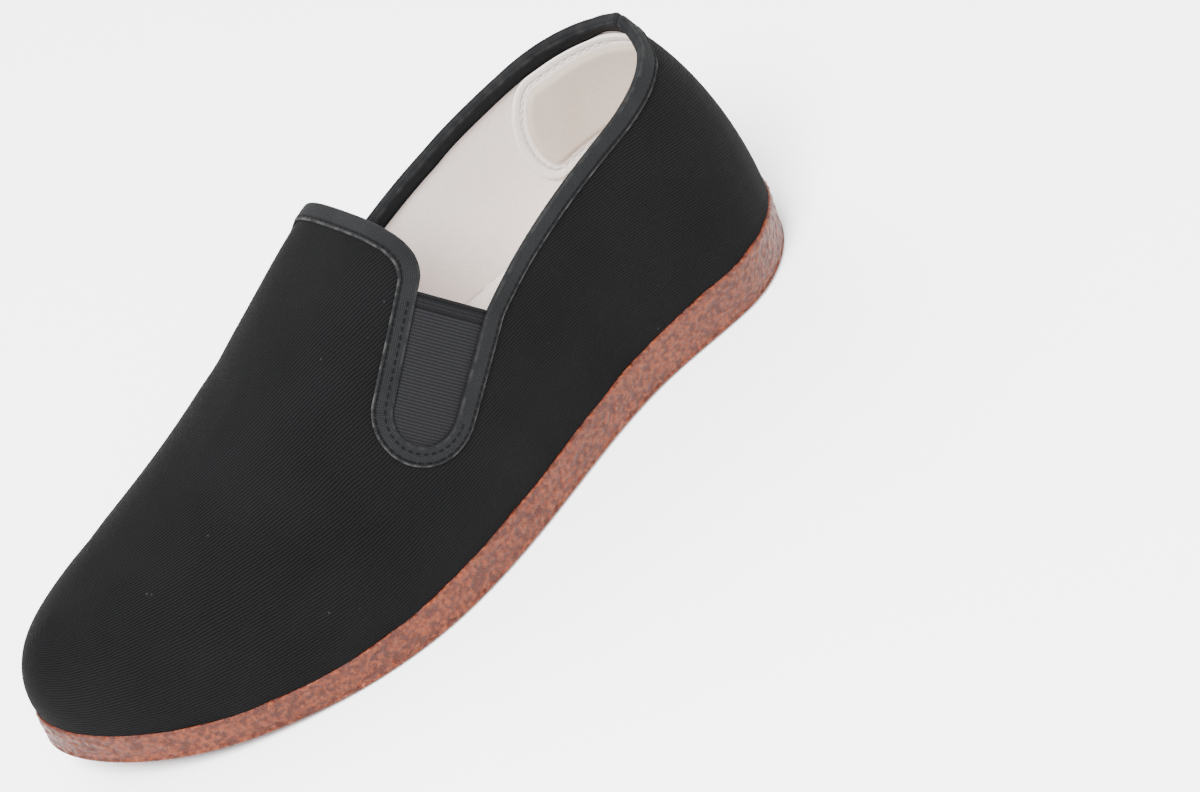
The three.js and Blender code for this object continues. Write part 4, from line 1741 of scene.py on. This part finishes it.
@dataclass
class Insole:
    """Cotton insole, softly dished under heel and ball."""

    last: Last
    thickness: float = 3.0
    grow: float = -1.8
    heel_at: float = 0.12
    heel_spread: float = 0.09
    heel_dish: float = 0.9
    ball_at: float = 0.7
    ball_spread: float = 0.12
    ball_dish: float = 0.5
    rim_drop: float = 0.7
    rim_starts: float = 0.93
    rim_width: float = 0.07
    stations: int = 150
    columns: int = 44

    def build(self) -> None:
        """Makes the insole."""
        theta = np.linspace(0, 1, self.stations + 1)
        along = self.last.along_of(theta)
        foot = self.last.feather_height(along)
        psi = self.last.psi_at_height(along, foot + self.thickness, self.grow)
        share = np.linspace(-1, 1, self.columns + 1)
        share = np.sin(share * QUARTER)

        def across(edge: Array, drop: Array) -> Array:
            """Rows of points from one rim to the other.

            Args:
                edge: Angle round the girth of each row's rims.
                drop: How far each point is lowered.

            Returns:
                The grid of points.
            """
            far = self.last.skin(along, edge, self.grow)
            near = self.last.skin(along, -edge, self.grow)
            rows = near[:, None] + (far - near)[:, None] * (share[None, :, None] + 1) / 2
            rows[..., 2] -= drop
            return rows

        heel = np.exp(-(((along - self.heel_at) / self.heel_spread) ** 2))
        ball = np.exp(-(((along - self.ball_at) / self.ball_spread) ** 2))
        deep = (heel * self.heel_dish + ball * self.ball_dish)[:, None]
        dish = deep * (1 - share[None] ** 2) ** 2
        at_rim = np.clip((np.abs(share[None]) - self.rim_starts) / self.rim_width, 0, 1)
        rounded = self.rim_drop * at_rim**2
        top = across(psi, dish + rounded)
        bottom = across(np.full(psi.shape, QUARTER), np.zeros(dish.shape))
        uv = top[..., 1::-1]
        surface = Surface(self.last)
        surface.add_shell(top, bottom, uv)
        cloth = Cotton("insole_cotton", shade(192, 180, 172), shade(231, 222, 216), 0.7)
        attach(surface.to_object("insole_cloth", [cloth.build()]), "lining_cotton", "insole")


@dataclass
class Sole:
    """Moulded rubber sole with a crinkled wall and a basket-weave tread."""

    last: Last
    stations: int = 520
    foot_round: float = 1.0
    top_round: float = 1.0
    tread_depth: float = 0.7
    sunk: float = 0.15
    rim: float = 3.6
    cell: float = 5.0
    oval_length: float = 62.0
    oval_width: float = 23.0
    oval_share: float = 0.47
    gate_radius: float = 9.0
    gate_share: float = 0.74
    ring_radius: float = 4.6
    pip_radius: float = 0.9
    crinkle_scale: float = 0.5
    crinkle_height: float = 0.5
    serration: float = 0.07
    serration_step: float = 2.2
    wall_start: float = 0.07
    wall_rows: int = 15
    mark_rise: float = 0.05
    end_room: float = 0.004
    edge_room: float = 3.4
    gate_room: float = 2.6
    lump_long: float = 2.75
    lump_thin: float = 1.25
    lump_corners: int = 12
    lump_rows: int = 28
    lump_columns: int = 11
    arc_points: int = 28

    def ring(self, inset: Array, height: Array) -> Array:
        """One closed line round the sole, by the outer side to the toe and back.

        Args:
            inset: How far the line is drawn in at each station.
            height: Its height at each station.

        Returns:
            Its points.
        """
        along = self.last.along_of(np.linspace(0, 1, self.stations + 1))
        outer = self.last.sole_edge(along, 1, inset, height)
        inner = self.last.sole_edge(along, -1, inset, height)
        return np.concatenate([outer[:-1], inner[::-1][:-1]])

    def body(self) -> bpy.types.Object:
        """Makes the sole's body.

        Its rows are pairs of inset and height, from the sunk field by the foot's rim and the flash line
        up the wall to the ledge under the upper.

        Returns:
            The piece.
        """
        along = self.last.along_of(np.linspace(0, 1, self.stations + 1))
        ground = self.last.sole_floor(along)
        top = self.last.sole_top(along)
        flare = self.last.flare(along)
        flat = 0 * along
        serration = self.serration * np.sin(np.arange(len(along)) * self.serration_step)
        base = [
            (flat + self.rim + 0.4, ground + self.tread_depth),
            (flat + self.rim + 0.15, ground + 0.12),
            (flat + self.rim - 0.2, ground),
            (flat + self.foot_round, ground),
        ]
        wall = [
            (flat + 0.35, ground + 0.28),
            (flat + 0.04, ground + 0.75),
            (flat - 0.26 + serration, ground + 1.0),
            (flat - 0.22 + serration, ground + 1.3),
            (flat + 0.06, ground + 1.6),
        ]
        crinkled = slice(len(base) + len(wall) - 1, -3)
        low = ground + self.foot_round
        high = top - self.top_round
        for share in np.linspace(self.wall_start, 1, self.wall_rows):
            wall.append((flare * share, low + (high - low) * share))
        wall.append((flare + 0.14, top - 0.5))
        wall.append((flare + 0.38, top - 0.12))
        wall.append((flare + self.last.ledge, top))
        rows = np.stack([self.ring(inset, height) for inset, height in base + wall])
        rows[crinkled] += self.crinkle(rows[crinkled])
        surface = Surface(self.last)
        index = surface.add_points(rows, np.zeros(2))
        # Slot 2, the darker field gum, is painted shade in the sunk field.
        surface.add_grid(index[:2], close=True, slot=2)
        surface.add_grid(index[1 : len(base)], close=True, slot=1)
        surface.add_grid(index[len(base) - 1 :], close=True)
        for ring, slot, order in ((index[0], 2, -1), (index[-1], 0, 1)):
            outer = ring[: self.stations + 1]
            inner = np.concatenate([ring[:1], ring[self.stations :][::-1]])
            surface.add_grid(np.stack([inner, outer][::order]), slot=slot)
        # The gum's third colour is the painted highlight of the crests.
        side = Gum("gum_side", shade(62, 18, 3), shade(80, 27, 5), shade(124, 58, 22), 1.7, 0.8)
        finishes = [side.build(), self.tread_finish(), self.shaded_field_finish()]
        return surface.to_object("sole_body", finishes, 50.0)

    def crinkle(self, rows: Array) -> Array:
        """Small outward moves that make the moulded wall uneven.

        Args:
            rows: Grid of the wall's points.

        Returns:
            One move for each point.
        """
        moves = np.zeros(rows.shape)
        outward = normalised(rows * (1.0, 1.0, 0.0))
        for i in range(rows.shape[0]):
            for j in range(rows.shape[1]):
                spot = Vector((rows[i, j] * self.crinkle_scale).tolist())
                moves[i, j] = outward[i, j] * self.crinkle_height * noise.noise(spot)
        return moves

    def tread_finish(self) -> bpy.types.Material:
        """Material of the underside, lighter than the sunk field between the lumps: partly wear and
        partly painted highlight.
        """
        # high is the painted highlight of the crests.
        low, mid, high = shade(74, 24, 8), shade(96, 36, 13), shade(132, 60, 30)
        return Gum("gum_tread", low, mid, high, 1.6, 0.16, 0.2).build()

    def shaded_field_finish(self) -> bpy.types.Material:
        """Material of the sunk field between the lumps: a darker copy of the tread's gum, painted shade
        in the recess.
        """
        # These are darker than the tread's colours: painted shade in the sunk field; high is its
        # painted highlight of the crests.
        low, mid, high = shade(44, 11, 3), shade(60, 17, 5), shade(84, 30, 12)
        return Gum("gum_field_painted_shade", low, mid, high, 1.6, 0.16, 0.1).build()

    def is_free(self, x: float, y: float) -> bool:
        """Whether a lump of the tread has room at a place.

        Args:
            x: Lengthwise place.
            y: Place across.

        Returns:
            False near the rim, the oval and the gate mark.
        """
        inset = self.rim + self.edge_room
        along = x / (self.last.sole_length - 2 * inset) + 0.5
        if not self.end_room < along < 1 - self.end_room:
            return False
        edge = self.last.sole_edge(np.array(along), 1, inset, 0.0)
        centre = self.last.ball_width * float(self.last.columns["centre"](np.array(along)))
        if abs(y - centre) > edge[1] - centre:
            return False
        oval = self.mark_centre(self.oval_share)
        past = max(0.0, abs(x - oval[0]) - (self.oval_length - self.oval_width) / 2)
        if math.hypot(past, y - oval[1]) < self.oval_width / 2 + self.edge_room:
            return False
        gate = self.mark_centre(self.gate_share)
        return math.hypot(x - gate[0], y - gate[1]) > self.gate_radius + self.gate_room

    def mark_centre(self, share: float) -> tuple[float, float]:
        """Plan place of a mark under the sole."""
        centre = float(self.last.columns["centre"](np.array(share)))
        return (share - 0.5) * self.last.sole_length, self.last.ball_width * centre

    def tread(self) -> bpy.types.Object:
        """Makes the lumps, the oval's rim and the gate mark.

        Returns:
            The piece.
        """
        surface = Surface(self.last)
        turn = circle(self.lump_corners)
        long = self.lump_long * np.cos(turn)
        thin = self.lump_thin * np.sin(turn) * (0.75 + 0.25 * np.abs(np.sin(turn)))
        root = self.tread_depth + self.sunk
        for i in range(-self.lump_rows, self.lump_rows + 1):
            for j in range(-self.lump_columns, self.lump_columns + 1):
                x = i * self.cell
                y = j * self.cell
                if not self.is_free(x, y):
                    continue
                lying = (i + j) % 2 == 0
                plan = np.stack([long, thin] if lying else [thin, long], -1)
                rings = []
                for scale, up in ((0.72, 0.0), (0.9, 0.12), (1.0, 0.4), (1.06, root)):
                    spot = plan * scale + (x, y)
                    share = spot[:, 0] / self.last.sole_length + 0.5
                    rings.append(np.concatenate([spot, (self.last.sole_floor(share) + up)[:, None]], 1))
                index = surface.add_points(np.stack(rings), np.zeros(2))
                surface.add_grid(index, close=True)
                surface.add_faces([index[0]])
                surface.add_faces([index[-1][::-1]])
        self.marks(surface)
        return surface.to_object("sole_tread", [self.tread_finish()], 35.0)

    def marks(self, surface: Surface) -> None:
        """Adds the raised rim of the oval and the rings and pip of the gate mark.

        Args:
            surface: Takes their points and faces.
        """
        root = self.tread_depth + self.sunk
        x, y = self.mark_centre(self.oval_share)
        first = np.linspace(-QUARTER, QUARTER, self.arc_points)
        second = np.linspace(QUARTER, 3 * QUARTER, self.arc_points)
        ends = np.concatenate([first, second])
        half = (self.oval_length - self.oval_width) / 2
        out = np.stack([np.cos(ends), np.sin(ends), 0 * ends], -1)
        shift = np.repeat([half, -half], self.arc_points)
        centre = np.stack([x + shift, y + 0 * ends, 0 * ends], -1)
        oval = centre + out * self.oval_width / 2
        bead = ((0.1, root), (0.2, 0.1), (0.45, 0.0), (1.0, 0.0), (1.25, 0.1), (1.35, root))
        surface.add_band(oval, out, bead)
        x, y = self.mark_centre(self.gate_share)
        turn = circle(2 * self.arc_points)
        out = np.stack([np.cos(turn), np.sin(turn), 0 * turn], -1)
        floor = float(self.last.sole_floor(np.array(self.gate_share)))
        centre = np.array([x, y, floor + self.mark_rise])
        surface.add_band(centre + out * self.gate_radius, out, bead)
        ring = ((-0.4, root), (-0.25, 0.35), (0.25, 0.35), (0.4, root))
        surface.add_band(centre + out * self.ring_radius, out, ring)
        pip = ((-0.9, 0.25), (0.0, 0.3), (0.45, root), (-0.9, root))
        surface.add_band(centre + out * self.pip_radius, out, pip)

    def build(self) -> None:
        """Makes the sole."""
        attach(self.body(), "gum_rubber", "sole")
        attach(self.tread(), "gum_rubber")


@dataclass(frozen=True)
class SoftLight:
    """One big soft light."""

    name: str
    at: tuple[float, float, float]
    size: float
    power: float


@dataclass
class Studio:
    """Pale floor, white surround, soft lights and the camera."""

    lights: tuple[SoftLight, ...] = (
        SoftLight("key", (0.5, 0.5, 1.25), 0.7, 85.0),
        SoftLight("fill", (-0.9, 0.9, 0.7), 1.4, 15.0),
        SoftLight("back", (0.1, -1.1, 1.1), 1.4, 32.0),
    )
    camera_at: tuple[float, float, float] = (0.16393426, 0.61840205, 0.57578727)
    camera_turn: tuple[float, float, float] = (44.49339581, 20.08605541, 140.90235477)
    lens: float = 84.2319
    sensor: float = 36.0
    surround: float = 1.75
    floor_reach: float = 6.0
    floor_height: float = -0.0002

    def build(self) -> None:
        """Sets up the studio."""
        self.floor()
        for light in self.lights:
            self.lamp(light)
        world = bpy.data.worlds.new("studio")
        world.use_nodes = True
        background = world.node_tree.nodes["Background"]
        background.inputs["Color"].default_value = (1, 1, 1, 1)
        background.inputs["Strength"].default_value = self.surround
        bpy.context.scene.world = world
        self.camera()

    def floor(self) -> None:
        """Adds the pale floor."""
        mesh = bpy.data.meshes.new("floor")
        far = self.floor_reach
        low = self.floor_height
        corners = [(-far, -far, low), (far, -far, low), (far, far, low), (-far, far, low)]
        mesh.from_pydata(corners, [], [(0, 1, 2, 3)])
        graph = Graph("pale_floor")
        grain = graph.noise(3.0, 2.0)
        colour = graph.mix(grain, (0.96, 0.96, 0.96, 1), (0.98, 0.98, 0.98, 1))
        mesh.materials.append(graph.finish(colour, 0.85, grain * 0.01, {}))
        floor = bpy.data.objects.new("floor", mesh)
        bpy.context.scene.collection.objects.link(floor)

    def lamp(self, light: SoftLight) -> None:
        """Adds one light that points at the shoe.

        Args:
            light: Its name, place, size and power.
        """
        data = bpy.data.lights.new(light.name, "AREA")
        data.shape = "DISK"
        data.size = light.size
        data.energy = light.power
        lamp = bpy.data.objects.new(light.name, data)
        lamp.location = light.at
        lamp.rotation_euler = (-Vector(light.at)).to_track_quat("-Z", "Y").to_euler()
        bpy.context.scene.collection.objects.link(lamp)

    def camera(self) -> None:
        """Adds the camera where the photograph was taken from."""
        data = bpy.data.cameras.new("camera")
        data.sensor_fit = "HORIZONTAL"
        data.sensor_width = self.sensor
        data.lens = self.lens
        data.clip_start = 0.01
        camera = bpy.data.objects.new("camera", data)
        camera.location = self.camera_at
        camera.rotation_euler = Euler([math.radians(turn) for turn in self.camera_turn])
        bpy.context.scene.collection.objects.link(camera)
        bpy.context.scene.camera = camera


def main() -> None:
    """Builds the shoe piece by piece."""
    logging.basicConfig(level=logging.INFO, format="%(name)s: %(message)s")
    last = Last()
    opening = Opening(last)
    Studio().build()
    Upper(last, opening).build()
    Binding(last, opening).build()
    webbing = Elastic().build()
    for side in Side:
        Gore(last, opening, side, webbing).build()
    HeelPatch(last, opening).build()
    Insole(last).build()
    Sole(last).build()


if __name__ == "__main__":
    main()
